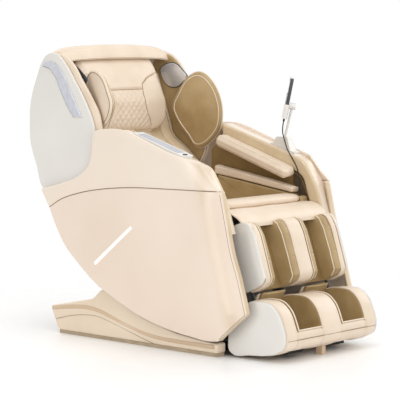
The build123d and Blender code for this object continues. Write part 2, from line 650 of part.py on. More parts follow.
CALF_SIDE = [calf_point(d, f) for d, f in ((26, -10), (24, 84), (44, 118), (100, 132), (204, 129), (284, 126),
                                           (304, 94), (316, 30), (316, -10))]
with BuildPart() as calf_side_cover:
    slab(CALF_SIDE, CALF_CORE, CALF_HALF, rounding=8)
save_pair(calf_side_cover, "calf_side_covers")

with BuildPart() as calf_bolster:
    slab([calf_point(d, f) for d, f in ((34, 19), (34, 90), (52, 116), (102, 127), (204, 124), (280, 120),
                                        (297, 92), (304, 19))], 226, CALF_CORE - 0.5)
save_pair(calf_bolster, "calf_bolsters")

CALF_CHANNEL = (75, 200)
with BuildPart() as calf_channel_pads:     # backs and sides of the two calf channels
    for side in (-1, 1):
        near, far = sorted((side * CALF_CHANNEL[0], side * CALF_CHANNEL[1]))
        slab([calf_point(34, 19), calf_point(34, 34), calf_point(302, 34), calf_point(302, 19)], near, far)
    for side in (-1, 1):
        for low, high in ((50, CALF_CHANNEL[0] - 1), (CALF_CHANNEL[1] + 1, 225.5)):
            near, far = sorted((side * low, side * high))
            slab([calf_point(34, 34.5), calf_point(40, 92), calf_point(104, 116), calf_point(270, 112),
                  calf_point(298, 34.5)], near, far)
save(calf_channel_pads, "calf_channel_pads")

with BuildPart() as calf_divider:
    slab([calf_point(34, 19), calf_point(36, 96), calf_point(60, 116), calf_point(110, 124),
          calf_point(272, 120), calf_point(296, 94), calf_point(302, 19)], -49, 49)
save(calf_divider, "calf_divider")

# ================================================================ foot rest
FOOT_FRONT = -712
FOOT_OUTLINE = [(-396, 64), (-400, 22), (-418, 9), (-511, 12), (-672, 42), (-700, 60), (FOOT_FRONT, 98),
                (-697, 159), (-669, 209), (-632, 239), (-573, 246), (-494, 232), (-462, 214)]
FOOT_WELL = (68, 216)
ROLLER_BAR = (-560, 84)
FOOT_TUBE = [calf_point(120, 3.5), calf_point(356, 3.5), calf_point(356, 14.5), calf_point(120, 14.5)]
with BuildPart() as foot_body:
    slab(FOOT_OUTLINE, -FOOT_CORE, FOOT_CORE)
    for side in (-1, 1):
        near, far = sorted((side * FOOT_WELL[0], side * FOOT_WELL[1]))
        slab([(-480, 270), (-446, 140), (-452, 92), (-480, 72), (-640, 86), (-668, 112), (-730, 130),
              (-730, 270)], near, far, mode=Mode.SUBTRACT)
        bar_x(17, near + 6, far - 6, ROLLER_BAR, mode=Mode.SUBTRACT)
        near, far = sorted((side * 238.5, side * 247.5))     # sockets of the sliding tubes
        slab(FOOT_TUBE, near, far, mode=Mode.SUBTRACT)
    bar_x(4 + PIN_PLAY, -214, 214, ROLLER_BAR, mode=Mode.SUBTRACT)
save(foot_body, "foot_body")

with BuildPart() as foot_side_cover:
    slab(FOOT_OUTLINE, FOOT_CORE, FOOT_HALF, rounding=8)
save_pair(foot_side_cover, "foot_side_covers")

with BuildPart() as foot_heel_pads:
    for side in (-1, 1):
        near, far = sorted((side * (FOOT_WELL[0] + 1), side * (FOOT_WELL[1] - 1)))
        slab([(-474, 245), (-447, 142), (-452, 100), (-462, 102), (-458, 144), (-488, 245)], near, far)
save(foot_heel_pads, "foot_heel_pads")

with BuildPart() as foot_sole_pads:
    for side in (-1, 1):
        near, far = sorted((side * (FOOT_WELL[0] + 1), side * (FOOT_WELL[1] - 1)))
        slab([(-482, 72.5), (-638, 86.2), (-639, 95), (-481, 82)], near, far)
        block((near, far), (ROLLER_BAR[0] - 17, ROLLER_BAR[0] + 17), (60, 110), mode=Mode.SUBTRACT)
save(foot_sole_pads, "foot_sole_pads")

with BuildPart() as foot_rollers:
    bar_x(4, -212, 212, ROLLER_BAR)
    for side in (-1, 1):
        for start in (80, 112, 144, 176):
            near, far = sorted((side * start, side * (start + 28)))
            bar_x(14, near, far, ROLLER_BAR)
save(foot_rollers, "foot_rollers")

with BuildPart() as foot_tubes:      # tubes that run in the calf frame's sleeves
    for side in (-1, 1):
        near, far = sorted((side * 238.5, side * 247.5))
        slab(FOOT_TUBE, near, far)
save(foot_tubes, "foot_tubes")

with BuildPart() as foot_glides:
    for side in (-1, 1):
        near, far = sorted((side * 90, side * 185))
        slab([(-560, 21.1), (-620, 32.3), (-622, 20), (-562, 9)], near, far)
save(foot_glides, "foot_glides")

with BuildPart() as foot_stand:      # small foot under the front of the foot rest
    slab([(-660, 0), (-630, 0), (-630, 34.1), (-660, 39.7)], -12, 12)
save(foot_stand, "foot_stand")
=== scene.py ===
# %% [markdown]
# # A massage chair, dressed in Blender
# The chair's frame, joints and sizes come ready made. Here each visible piece gets its real surface:
# moulded pearl side panels, white back shells, padded leather and a few metal parts. Lengths in this
# lesson are millimetres in the chair's own frame (Z up, the sitter faces -Y), and the helper that makes
# a mesh turns them into metres.

# %% Load the frame
import json
from math import cos, pi, radians, sin

import bmesh
import bpy
import numpy as np
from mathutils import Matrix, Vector

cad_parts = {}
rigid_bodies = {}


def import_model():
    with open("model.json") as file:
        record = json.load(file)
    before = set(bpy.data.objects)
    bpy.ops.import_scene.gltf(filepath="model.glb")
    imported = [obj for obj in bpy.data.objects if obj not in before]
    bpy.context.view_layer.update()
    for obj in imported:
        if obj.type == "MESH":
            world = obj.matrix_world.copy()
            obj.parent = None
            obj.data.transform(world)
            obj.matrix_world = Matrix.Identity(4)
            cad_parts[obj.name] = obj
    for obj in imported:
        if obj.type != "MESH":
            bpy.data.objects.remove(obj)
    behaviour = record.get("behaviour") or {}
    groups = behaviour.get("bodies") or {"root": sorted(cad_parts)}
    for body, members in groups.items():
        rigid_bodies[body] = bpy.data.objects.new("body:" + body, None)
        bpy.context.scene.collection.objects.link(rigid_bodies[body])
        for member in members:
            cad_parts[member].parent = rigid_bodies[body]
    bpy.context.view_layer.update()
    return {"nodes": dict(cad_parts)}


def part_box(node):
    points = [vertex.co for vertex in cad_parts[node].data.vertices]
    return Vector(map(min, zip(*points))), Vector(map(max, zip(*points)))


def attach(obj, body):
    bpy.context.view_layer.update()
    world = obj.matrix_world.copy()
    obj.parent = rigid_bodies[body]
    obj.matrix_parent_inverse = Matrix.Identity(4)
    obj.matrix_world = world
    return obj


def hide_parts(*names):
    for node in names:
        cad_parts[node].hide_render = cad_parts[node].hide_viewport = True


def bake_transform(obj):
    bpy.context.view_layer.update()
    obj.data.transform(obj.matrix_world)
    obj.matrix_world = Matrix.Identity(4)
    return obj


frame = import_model()
scene = bpy.context.scene


def limits(node):
    """Lowest and highest corner of a CAD node at rest, in millimetres."""
    low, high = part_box(node)
    return np.array(low) * 1000, np.array(high) * 1000


# %% [markdown]
# ## The camera
# A long lens from far away keeps the chair's edges nearly parallel, as in a catalogue picture. The
# camera stands in front and to the sitter's right, just above arm height. Its turn is built from one
# vector, from the target back to the camera, because that is easier to read than three angles.

# %% Camera
VIEW_TURN, VIEW_RISE = radians(-48), radians(5.4)
CAMERA_PLACE = (-6.0525, -5.4277, 1.3614)             # metres
LENS, SENSOR_WIDTH = 171, 36
camera_data = bpy.data.cameras.new("camera")
camera_data.lens = LENS
camera_data.sensor_width = SENSOR_WIDTH
camera = bpy.data.objects.new("camera", camera_data)
back = Vector((sin(VIEW_TURN) * cos(VIEW_RISE), -cos(VIEW_TURN) * cos(VIEW_RISE), sin(VIEW_RISE)))
camera.location = CAMERA_PLACE
camera.rotation_mode = "QUATERNION"
camera.rotation_quaternion = (-back).to_track_quat("-Z", "Y")
scene.collection.objects.link(camera)
scene.camera = camera
print("camera:", LENS, "mm lens at", CAMERA_PLACE)

# %% [markdown]
# ## The handset's cord
# A free cord is a curve with a round bevel. Its control points repeat the route that the CAD tube
# follows, from the gland inside the arm up to the handset, and a NURBS of order 3 runs smoothly past
# them. The order and the end flag are set after the points, because a spline with too few points
# drops back to straight runs.

# %% Cord
CORD_THICKNESS = 5
CORD_ROUTE = [(276, -305, 622), (276, -305, 655), (278, -300, 696), (279, -287, 735), (280, -256, 775),
              (286, -224, 813), (299, -200, 849), (315.36, -172.63, 886.96), (320.21, -178.01, 924.26)]
cord_curve = bpy.data.curves.new("handset_flex", "CURVE")
cord_curve.dimensions = "3D"
cord_curve.bevel_depth = CORD_THICKNESS / 2000
cord_curve.bevel_resolution = 4
cord_curve.use_fill_caps = True
spline = cord_curve.splines.new("NURBS")
spline.points.add(len(CORD_ROUTE) - 1)
spline.points.foreach_set("co", np.c_[np.array(CORD_ROUTE) / 1000, np.ones(len(CORD_ROUTE))].ravel())
spline.order_u = 3
spline.use_endpoint_u = True
spline.resolution_u = 12
cord = bpy.data.objects.new("handset_flex", cord_curve)
scene.collection.objects.link(cord)
print("cord:", len(CORD_ROUTE), "control points")

# %% [markdown]
# ## Helpers for shapes
# Nearly every piece is one of three families. A *bolster* is a cross-section with rounded corners
# carried along the chair's side view, for cushions and rolls. A *plate* is a closed outline in the side
# view with a rounded rim and a crowned face, for shells, wings and panels. *Piping* is a thin tube along
# an edge. Each is worked out as a whole grid of points at once, which is fast and easy to change. The
# curve helpers come first, with the one that turns a stack of rings into a closed skin.

# %% Mesh helpers
def smooth_line(points, count, closed=False):
    """Evenly spaced points on the cubic curve through the given points (Hermite, chord-length slopes)."""
    p = np.asarray(points, float)
    if closed:
        p = np.vstack([p[-2:], p, p[:3]])
    chord = np.r_[0, np.cumsum(np.linalg.norm(np.diff(p, axis=0), axis=1))]
    slope = np.gradient(p, chord, axis=0)
    first, last = (chord[2], chord[-3]) if closed else (0, chord[-1])
    at = np.linspace(first, last, 24 * len(p))
    i = np.clip(np.searchsorted(chord, at, side="right") - 1, 0, len(p) - 2)
    gap = (chord[i + 1] - chord[i])[:, None]
    t = (at - chord[i])[:, None] / gap
    line = ((2 * t**3 - 3 * t**2 + 1) * p[i] + (t**3 - 2 * t**2 + t) * gap * slope[i]
            + (3 * t**2 - 2 * t**3) * p[i + 1] + (t**3 - t**2) * gap * slope[i + 1])
    return even(line, count, closed)


def even(line, count, closed=False):
    """The same polyline with evenly spaced points."""
    line = np.asarray(line, float)
    if closed and np.linalg.norm(line[0] - line[-1]) > 1e-6:
        line = np.vstack([line, line[:1]])
    run = np.r_[0, np.cumsum(np.linalg.norm(np.diff(line, axis=0), axis=1))]
    at = np.linspace(0, run[-1], count, endpoint=not closed)
    return np.stack([np.interp(at, run, line[:, k]) for k in range(line.shape[1])], axis=1)


def soften(outline, radius):
    """A closed outline with its corners rounded: a running average over about the given length."""
    step = np.linalg.norm(outline[1] - outline[0])
    width = max(1, int(radius / step))
    kernel = np.hanning(2 * width + 3)
    kernel = kernel / kernel.sum()
    reach = width + 1
    wrapped = np.vstack([outline[-reach:], outline, outline[:reach]])
    return np.stack([np.convolve(wrapped[:, k], kernel, mode="valid") for k in range(2)], axis=1)


def make_piece(name, vertices, faces, material, body):
    """A mesh object from millimetre points, with its normals turned outwards, riding on a body."""
    mesh = bpy.data.meshes.new(name)
    mesh.from_pydata((np.asarray(vertices) / 1000).tolist(), [], faces)
    work = bmesh.new()
    work.from_mesh(mesh)
    bmesh.ops.remove_doubles(work, verts=work.verts, dist=1e-6)
    bmesh.ops.recalc_face_normals(work, faces=work.faces)
    work.to_mesh(mesh)
    work.free()
    mesh.polygons.foreach_set("use_smooth", np.full(len(mesh.polygons), True))
    piece = bpy.data.objects.new(name, mesh)
    scene.collection.objects.link(piece)
    mesh.materials.append(material)
    if body:
        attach(piece, body)
    return piece


def grid_faces(rows, columns, wrap_rows=False):
    """Quads between neighbouring points of a grid stored row by row. Each row closes on itself."""
    r, c = np.meshgrid(np.arange(rows if wrap_rows else rows - 1), np.arange(columns), indexing="ij")
    r2, c2 = (r + 1) % rows, (c + 1) % columns
    quads = np.stack([r * columns + c, r2 * columns + c, r2 * columns + c2, r * columns + c2], axis=-1)
    return quads.reshape(-1, 4).tolist()


def capped_tube(name, rings, material, body):
    """A closed skin over a stack of rings (stations, points, 3), with a fan over each end."""
    stations, around = rings.shape[:2]
    vertices = np.vstack([rings.reshape(-1, 3), rings[0].mean(axis=0), rings[-1].mean(axis=0)])
    faces = grid_faces(stations, around)
    k = np.arange(around)
    last = (stations - 1) * around
    start, end = stations * around, stations * around + 1
    faces += np.stack([np.full(around, start), k, (k + 1) % around], axis=1).tolist()
    faces += np.stack([np.full(around, end), last + (k + 1) % around, last + k], axis=1).tolist()
    return make_piece(name, vertices, faces, material, body)


print("curve and mesh helpers ready")

# %% [markdown]
# ## Bolsters
# A real cushion is a cut block of foam in a sewn cover: flat sides, rounded corners and a face that swells
# in the middle. A bolster has the same parts, so its numbers are easy to choose. It also keeps the points
# of its front face, because a welt or a seam has to lie exactly on that face.

# %% Bolster helper
FACES = {}                                # the front face of each bolster, for seams laid on it
ARC_STEPS, SIDE_STEPS = 6, 8              # points round a corner and down a side of its section


def bolster(name, front, rear, x_from, x_to, radius, material, body, crown=0.0, end_radius=None,
            stations=60, across=28, relief=None, narrow=None, warp=None):
    """A padded beam. At each station the section is a rectangle with rounded corners that spans
    x_from..x_to and reaches from the rear line to the front line of the side view. Its front face rises by
    crown * (1 - u^2), with u from -1 to 1 across the width, and relief(s, u) adds more, with s along it.
    narrow(s) takes millimetres off each side, and warp moves the finished rings."""
    front = np.asarray(front, float)
    rear = np.asarray(rear, float)
    depth = np.linalg.norm(front - rear, axis=1)
    outward = (front - rear) / depth[:, None]
    middle = (front + rear) / 2
    run = np.r_[0, np.cumsum(np.linalg.norm(np.diff(middle, axis=0), axis=1))]
    end_radius = radius if end_radius is None else end_radius
    turn = np.linspace(0, pi / 2, 7)
    lead = end_radius * (1 - np.cos(turn))
    at = np.r_[lead, np.linspace(end_radius, run[-1] - end_radius, stations)[1:-1], run[-1] - lead[::-1]]
    from_end = np.clip(np.minimum(at, run[-1] - at), 0, end_radius)
    inset = end_radius - np.sqrt(end_radius**2 - (end_radius - from_end) ** 2)
    centre = np.stack([np.interp(at, run, middle[:, k]) for k in range(2)], axis=1)
    up = np.stack([np.interp(at, run, outward[:, k]) for k in range(2)], axis=1)
    up /= np.linalg.norm(up, axis=1)[:, None]
    half_depth = np.interp(at, run, depth) / 2 - inset
    half_width = (x_to - x_from) / 2 - inset
    if narrow is not None:
        half_width = half_width - narrow(at / run[-1])
    corner = np.minimum(radius, np.minimum(half_depth, half_width) * 0.98)[:, None]
    u = np.linspace(-1, 1, across)[None, :]
    arc = np.linspace(0, pi / 2, ARC_STEPS)[None, 1:-1]
    w, h = half_width[:, None] - corner, half_depth[:, None] - corner
    s = (at / run[-1])[:, None]
    fade = np.clip(1 - inset / end_radius, 0, 1)[:, None]
    rise = crown * (1 - u**2) * fade
    if relief is not None:
        rise = rise + relief(s, u) * fade
    side_u = np.linspace(-1, 1, SIDE_STEPS)[None, 1:-1]
    side_x = np.repeat(w + corner, SIDE_STEPS - 2, axis=1)
    x = np.hstack([w * u, w + corner * np.sin(arc), side_x, w + corner * np.cos(arc),
                   -w * u, -w - corner * np.sin(arc), -side_x, -w - corner * np.cos(arc)])
    y = np.hstack([h + corner + rise, h + corner * np.cos(arc), -h * side_u,
                   -h - corner * np.sin(arc), np.repeat(-h - corner, across, axis=1),
                   -h - corner * np.cos(arc), h * side_u, h + corner * np.sin(arc)])
    rings = np.empty(x.shape + (3,))
    rings[..., 0] = (x_from + x_to) / 2 + x
    rings[..., 1:] = centre[:, None, :] + y[..., None] * up[:, None, :]
    if warp is not None:
        rings = warp(rings)
    FACES[name] = (at / run[-1], rings[:, :across])
    return capped_tube(name, rings, material, body)


def on_face(name, s, u):
    """Points on a bolster's front face at (s, u): linear steps between the grid's rows and columns."""
    rows, grid = FACES[name]
    row = np.interp(s, rows, np.arange(len(rows)))
    column = (np.clip(u, -1, 1) + 1) / 2 * (grid.shape[1] - 1)
    r, c = np.minimum(row.astype(int), len(rows) - 2), np.minimum(column.astype(int), grid.shape[1] - 2)
    f, g = (row - r)[:, None], (column - c)[:, None]
    return ((1 - f) * (1 - g) * grid[r, c] + f * (1 - g) * grid[r + 1, c]
            + (1 - f) * g * grid[r, c + 1] + f * g * grid[r + 1, c + 1])


def pair_lines(front, rear, count=80):
    """Front and rear lines of a bolster, both with the same number of evenly spaced points."""
    return smooth_line(front, count), smooth_line(rear, count)


print("bolster helper ready")

# %% [markdown]
# ## Plates, piping and stitches
# A plate suits shells and panels, whose outline is what one sees first. Piping is the cord sewn into a
# seam of leather, and a stitch is a small spindle, cheap enough to be made as real geometry. Both follow
# a path, and both need two directions across it, which one helper works out.

# %% Plate and piping helpers
PIPE_POINTS = 8
STITCH_PITCH, STITCH_LENGTH, STITCH_RADIUS = 7.0, 4.6, 0.55
REFERENCE = np.array([0.31, 0.52, 0.79])
SPINDLE = np.array([(0, 2, 1), (0, 3, 2), (0, 4, 3), (0, 1, 4), (5, 1, 2), (5, 2, 3), (5, 3, 4), (5, 4, 1)])


def plate(name, outline, x_back, x_face, rim, material, body, crown=0.0, fall=None, side=1,
          rings=16, back_rim=None, warp=None):
    """A closed outline in the side view, made solid between x_back and x_face (distances from the middle
    of the chair, on one side of it). Rings run from the middle of the face outwards: the outline shrunk
    towards its centre by k from 0 to 1, with height crown * (1 - k^2). The rim is a quarter round, and the
back face closes it. fall(y, z) lowers the face where it curves away, and warp moves the rings."""
    outline = np.asarray(outline, float)
    tangent = np.roll(outline, -1, axis=0) - np.roll(outline, 1, axis=0)
    tangent /= np.linalg.norm(tangent, axis=1)[:, None]
    area = np.sum(outline[:, 0] * np.roll(outline[:, 1], -1) - np.roll(outline[:, 0], -1) * outline[:, 1])
    inward = np.sign(area) * np.stack([-tangent[:, 1], tangent[:, 0]], axis=1)
    centre = outline.mean(axis=0)
    direction = 1 if x_face > x_back else -1
    back_rim = rim if back_rim is None else back_rim
    stack, heights = [], []
    inner = outline + rim * inward
    for k in np.linspace(0.02, 1, rings) ** 0.8:
        stack.append(centre + (inner - centre) * k)
        heights.append(x_face + direction * crown * (1 - k**2))
    for angle in np.linspace(0, pi / 2, 6)[1:]:
        stack.append(outline + rim * (1 - sin(angle)) * inward)
        heights.append(x_face - direction * rim * (1 - cos(angle)))
    for angle in np.linspace(pi / 2, 0, 5):
        stack.append(outline + back_rim * (1 - sin(angle)) * inward)
        heights.append(x_back + direction * back_rim * (1 - cos(angle)))
    inner = outline + back_rim * inward
    for k in (0.75, 0.5, 0.25, 0.02):
        stack.append(centre + (inner - centre) * k)
        heights.append(x_back)
    flat = np.array(stack)
    x = np.repeat(np.array(heights)[:, None], len(outline), axis=1)
    if fall is not None:
        x = x - direction * fall(flat[..., 0], flat[..., 1])
    rings_xyz = np.dstack([side * x, flat])
    if warp is not None:
        rings_xyz = warp(rings_xyz)
    return capped_tube(name, rings_xyz, material, body)


def across_path(path, closed=False):
    """The unit vectors ahead along a path, sideways and upward. Sideways is the cross product with a slanting
    reference that no path here is parallel to."""
    if closed:
        ahead = np.roll(path, -1, axis=0) - np.roll(path, 1, axis=0)
    else:
        ahead = np.gradient(path, axis=0)
    ahead /= np.linalg.norm(ahead, axis=1)[:, None]
    sideways = np.cross(ahead, REFERENCE)
    sideways /= np.linalg.norm(sideways, axis=1)[:, None]
    return ahead, sideways, np.cross(sideways, ahead)


def piping(name, path, radius, material, body, closed=False):
    """A round welt: a circle carried along the path, in the plane across its direction."""
    path = np.asarray(path, float)
    sideways, upward = across_path(path, closed)[1:]
    angle = np.linspace(0, 2 * pi, PIPE_POINTS, endpoint=False)
    rings = (path[:, None, :] + radius * np.cos(angle)[None, :, None] * sideways[:, None, :]
             + radius * np.sin(angle)[None, :, None] * upward[:, None, :])
    if closed:
        faces = grid_faces(len(path), PIPE_POINTS, wrap_rows=True)
        return make_piece(name, rings.reshape(-1, 3), faces, material, body)
    return capped_tube(name, rings, material, body)


def stitches(name, path, material, body):
    """A row of stitches: at each pitch along the path, a spindle with six points and eight faces."""
    path = even(path, max(3, int(np.linalg.norm(np.diff(path, axis=0), axis=1).sum() / STITCH_PITCH)))
    ahead, sideways, upward = across_path(path)
    out, up, along = sideways * STITCH_RADIUS, upward * STITCH_RADIUS, ahead * STITCH_LENGTH / 2
    corners = np.stack([path - along, path + out, path + up, path - out, path - up, path + along], axis=1)
    faces = (SPINDLE[None] + 6 * np.arange(len(path))[:, None, None]).reshape(-1, 3).tolist()
    return make_piece(name, corners.reshape(-1, 3), faces, material, body)


print("plate, piping and stitch helpers ready")

# %% [markdown]
# ## Small helpers
# The chair's two sides mirror each other, and most pieces are placed, dressed and edged in the same few
# ways. These helpers take up what would repeat: an outline with round corners, a line at one X, the X
# range on one side, a welt with its slot, and hiding the CAD nodes that a piece stands for.

# %% Small helpers
SIDES = (("left", 1), ("right", -1))      # the sitter's left is +X
objects_before = len(bpy.data.objects)


def at_x(line, x):
    """A side-view line placed at one x."""
    line = np.asarray(line, float)
    return np.column_stack([np.full(len(line), x), line])


def level_line(x_from, x_to, y, z, count):
    """A straight line across the chair."""
    return np.column_stack([np.linspace(x_from, x_to, count), np.full(count, y), np.full(count, z)])


def span(side, near, far):
    """The X range between two distances from the middle of the chair, on one side of it, lowest first."""
    return sorted((side * near, side * far))


def rounded(points, count, radius, curve=0):
    """A closed outline of count even points with soft corners. With curve, a smooth line of that many
    points is laid through the given ones first."""
    line = smooth_line(points, curve, closed=True) if curve else points
    return soften(even(line, count, closed=True), radius)


def shrunk(outline, share):
    """An outline drawn in towards its centre."""
    middle = outline.mean(axis=0)
    return middle + (outline - middle) * share


def normals(line):
    """Unit vectors square to a side-view line, a quarter turn from (y, z) to (-z, y)."""
    ahead = np.gradient(line, axis=0)
    ahead /= np.linalg.norm(ahead, axis=1)[:, None]
    return np.stack([-ahead[:, 1], ahead[:, 0]], axis=1)


def nearest(line, point):
    """The index of the point of a line that is nearest to a point."""
    return np.argmin(np.hypot(*(line - point).T))


def dress(piece):
    """Returns the piece as it is."""
    return piece


def welt(name, path, radius, material, body, closed=False):
    """Piping or a seam, with its material slot."""
    return dress(piping(name, path, radius, material, body, closed=closed))


def stands_for(name, *nodes):
    """Hides the CAD nodes that a piece, and its mirror image, take the place of."""
    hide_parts(*nodes)


def made(step):
    """Prints how many objects a step has added."""
    global objects_before
    count = len(bpy.data.objects)
    print(f"{step}: {count - objects_before} objects")
    objects_before = count


print("small helpers ready")

# %% [markdown]
# ## Finishes
# Leather needs two scales of detail: a fine pebble grain, and slow waves where the skin pulls over the
# foam. Moulded plastic has a faint cloud of colour, so that big panels don't look flat, and a fine orange
# peel, and brushed metal has long scratches. Each is a node group, built once, that every material of its
# kind uses with its own numbers. All read the object's own coordinates, so they stay put when it moves.

# %% Node groups
def colour(red, green, blue):
    """A screen colour from 0 to 255 as the linear colour that the shader wants."""
    c = np.array([red, green, blue]) / 255
    linear = np.where(c <= 0.04045, c / 12.92, ((c + 0.055) / 1.055) ** 2.4)
    return (*linear.tolist(), 1.0)


def new_group(name, inputs, outputs):
    """An empty shader node group with named number inputs and outputs."""
    group = bpy.data.node_groups.new(name, "ShaderNodeTree")
    for label, value in inputs.items():
        socket = group.interface.new_socket(label, in_out="INPUT", socket_type="NodeSocketFloat")
        socket.default_value = value
    for label in outputs:
        group.interface.new_socket(label, in_out="OUTPUT", socket_type="NodeSocketFloat")
    return group, group.nodes.new("NodeGroupInput"), group.nodes.new("NodeGroupOutput")


def feed(tree, socket, value):
    """Gives a socket a number, or a link from another socket."""
    if isinstance(value, (int, float)):
        socket.default_value = value
    else:
        tree.links.new(value, socket)


def math_node(tree, operation, first, second):
    """One Math node. Each input is a socket or a number."""
    node = tree.nodes.new("ShaderNodeMath")
    node.operation = operation
    for socket, value in zip(node.inputs, (first, second)):
        feed(tree, socket, value)
    return node.outputs[0]


def object_place(tree):
    """The socket of the object's own coordinates, in metres."""
    return tree.nodes.new("ShaderNodeTexCoord").outputs["Object"]


def noise_node(tree, place, scale, detail=2):
    """A cloud of noise read at a place."""
    node = tree.nodes.new("ShaderNodeTexNoise")
    node.inputs["Detail"].default_value = detail
    tree.links.new(place, node.inputs["Vector"])
    feed(tree, node.inputs["Scale"], scale)
    return node.outputs["Fac"]


LEATHER, given, result = new_group("leather_surface", {"Grain": 520.0, "Waves": 9.0}, ("Height", "Tone"))
place = object_place(LEATHER)
cells = LEATHER.nodes.new("ShaderNodeTexVoronoi")
cells.feature = "F1"
LEATHER.links.new(place, cells.inputs["Vector"])
LEATHER.links.new(given.outputs["Grain"], cells.inputs["Scale"])
waves = noise_node(LEATHER, place, given.outputs["Waves"], detail=3)
pebbles = math_node(LEATHER, "MULTIPLY", cells.outputs["Distance"], 0.10)
swell = math_node(LEATHER, "MULTIPLY", waves, 1.6)
LEATHER.links.new(math_node(LEATHER, "ADD", pebbles, swell), result.inputs["Height"])
LEATHER.links.new(waves, result.inputs["Tone"])

MOULDED, given, result = new_group("moulded_surface", {"Scale": 4.0}, ("Cloud", "Peel"))
place = object_place(MOULDED)
MOULDED.links.new(noise_node(MOULDED, place, given.outputs["Scale"]), result.inputs["Cloud"])
MOULDED.links.new(noise_node(MOULDED, place, 260), result.inputs["Peel"])

BRUSHED, given, result = new_group("brushed_surface", {"Along": 900.0, "Across": 40.0}, ("Lines",))
stretch = BRUSHED.nodes.new("ShaderNodeMapping")
scales = BRUSHED.nodes.new("ShaderNodeCombineXYZ")
for socket, label in zip(scales.inputs, ("Along", "Across", "Across")):
    BRUSHED.links.new(given.outputs[label], socket)
BRUSHED.links.new(scales.outputs[0], stretch.inputs["Scale"])
BRUSHED.links.new(object_place(BRUSHED), stretch.inputs["Vector"])
BRUSHED.links.new(noise_node(BRUSHED, stretch.outputs["Vector"], 1), result.inputs["Lines"])

EDGE_START, EDGE_LEAN, EDGE_FOOT = -0.545, 0.282, 0.19   # the panels' front edge in metres:
BAND_STRENGTH = 0.55                                     # y0 = start + lean * (z - foot)
SHADE, given, result = new_group("front_edge_shade", {"Behind": 0.075, "Width": 0.035}, ("Strength",))
split = SHADE.nodes.new("ShaderNodeSeparateXYZ")
SHADE.links.new(object_place(SHADE), split.inputs[0])
edge = math_node(SHADE, "MULTIPLY", math_node(SHADE, "SUBTRACT", split.outputs["Z"], EDGE_FOOT), EDGE_LEAN)
edge = math_node(SHADE, "ADD", math_node(SHADE, "ADD", edge, EDGE_START), given.outputs["Behind"])
gap = math_node(SHADE, "SUBTRACT", split.outputs["Y"], edge)
gap = math_node(SHADE, "DIVIDE", gap, given.outputs["Width"])
fade = math_node(SHADE, "MULTIPLY", math_node(SHADE, "MULTIPLY", gap, gap), -1.0)
band = math_node(SHADE, "MULTIPLY", math_node(SHADE, "EXPONENT", fade, 0.0), BAND_STRENGTH)
SHADE.links.new(band, result.inputs["Strength"])
print("node groups:", ", ".join(group.name for group in (LEATHER, MOULDED, BRUSHED, SHADE)))

# %% [markdown]
# ## Finish helpers
# Leather, paint and brushed metal each place their group and use it in the same two ways. The colour
# drifts between two close ones, because one flat colour looks like plastic from a computer, and a slight
# bump keeps the reflections from being perfect.

# %% Finish helpers
def new_material(name, roughness, metallic=0.0, coat=0.0, coat_roughness=0.1, sheen=0.0):
    """A material with a Principled shader whose constants sit on its own sockets."""
    material = bpy.data.materials.new(name)
    material.use_nodes = True
    shader = material.node_tree.nodes["Principled BSDF"]
    for label, value in (("Roughness", roughness), ("Metallic", metallic), ("Coat Weight", coat),
                         ("Coat Roughness", coat_roughness), ("Sheen Weight", sheen), ("IOR", 1.5)):
        shader.inputs[label].default_value = value
    return material, material.node_tree, shader


def two_tone(tree, shader, mask, dark, light):
    """Base colour that drifts between two close colours as the mask goes from 0.3 to 0.7."""
    ramp = tree.nodes.new("ShaderNodeValToRGB")
    for element, position, tone in zip(ramp.color_ramp.elements, (0.3, 0.7), (dark, light)):
        element.position = position
        element.color = colour(*tone)
    tree.links.new(mask, ramp.inputs["Fac"])
    tree.links.new(ramp.outputs["Color"], shader.inputs["Base Color"])


def bump(tree, shader, height, distance):
    """A Bump node that feeds the shader's normal. distance is in metres."""
    node = tree.nodes.new("ShaderNodeBump")
    node.inputs["Distance"].default_value = distance
    node.inputs["Strength"].default_value = 1.0
    tree.links.new(height, node.inputs["Height"])
    tree.links.new(node.outputs["Normal"], shader.inputs["Normal"])


def use_group(tree, group, **values):
    """Places a node group with its own values and returns its outputs."""
    node = tree.nodes.new("ShaderNodeGroup")
    node.node_tree = group
    for label, value in values.items():
        node.inputs[label].default_value = value
    return node.outputs


def leather(name, dark, light, roughness=0.42, grain=520.0):
    """Dyed leather: its group gives the grain, the slow waves and the drift of colour."""
    material, tree, shader = new_material(name, roughness, coat=0.08, coat_roughness=0.35, sheen=0.08)
    surface = use_group(tree, LEATHER, Grain=grain)
    two_tone(tree, shader, surface["Tone"], dark, light)
    bump(tree, shader, surface["Height"], 0.0016)
    return material


def paint(name, dark, light, roughness, coat, scale=4.0, coat_roughness=0.05):
    """Moulded or sprayed plastic: a cloudy two-tone base and a very fine orange peel."""
    material, tree, shader = new_material(name, roughness, coat=coat, coat_roughness=coat_roughness)
    surface = use_group(tree, MOULDED, Scale=scale)
    two_tone(tree, shader, surface["Cloud"], dark, light)
    bump(tree, shader, surface["Peel"], 0.00004)
    return material


def brushed(name, dark, light, roughness=0.28, across=40.0, along=900.0, relief=0.00003, metallic=1.0):
    """Brushed metal: noise that changes faster along X than across it gives the tone and a fine bump."""
    material, tree, shader = new_material(name, roughness, metallic)
    lines = use_group(tree, BRUSHED, Along=along, Across=across)["Lines"]
    two_tone(tree, shader, lines, dark, light)
    bump(tree, shader, lines, relief)
    return material


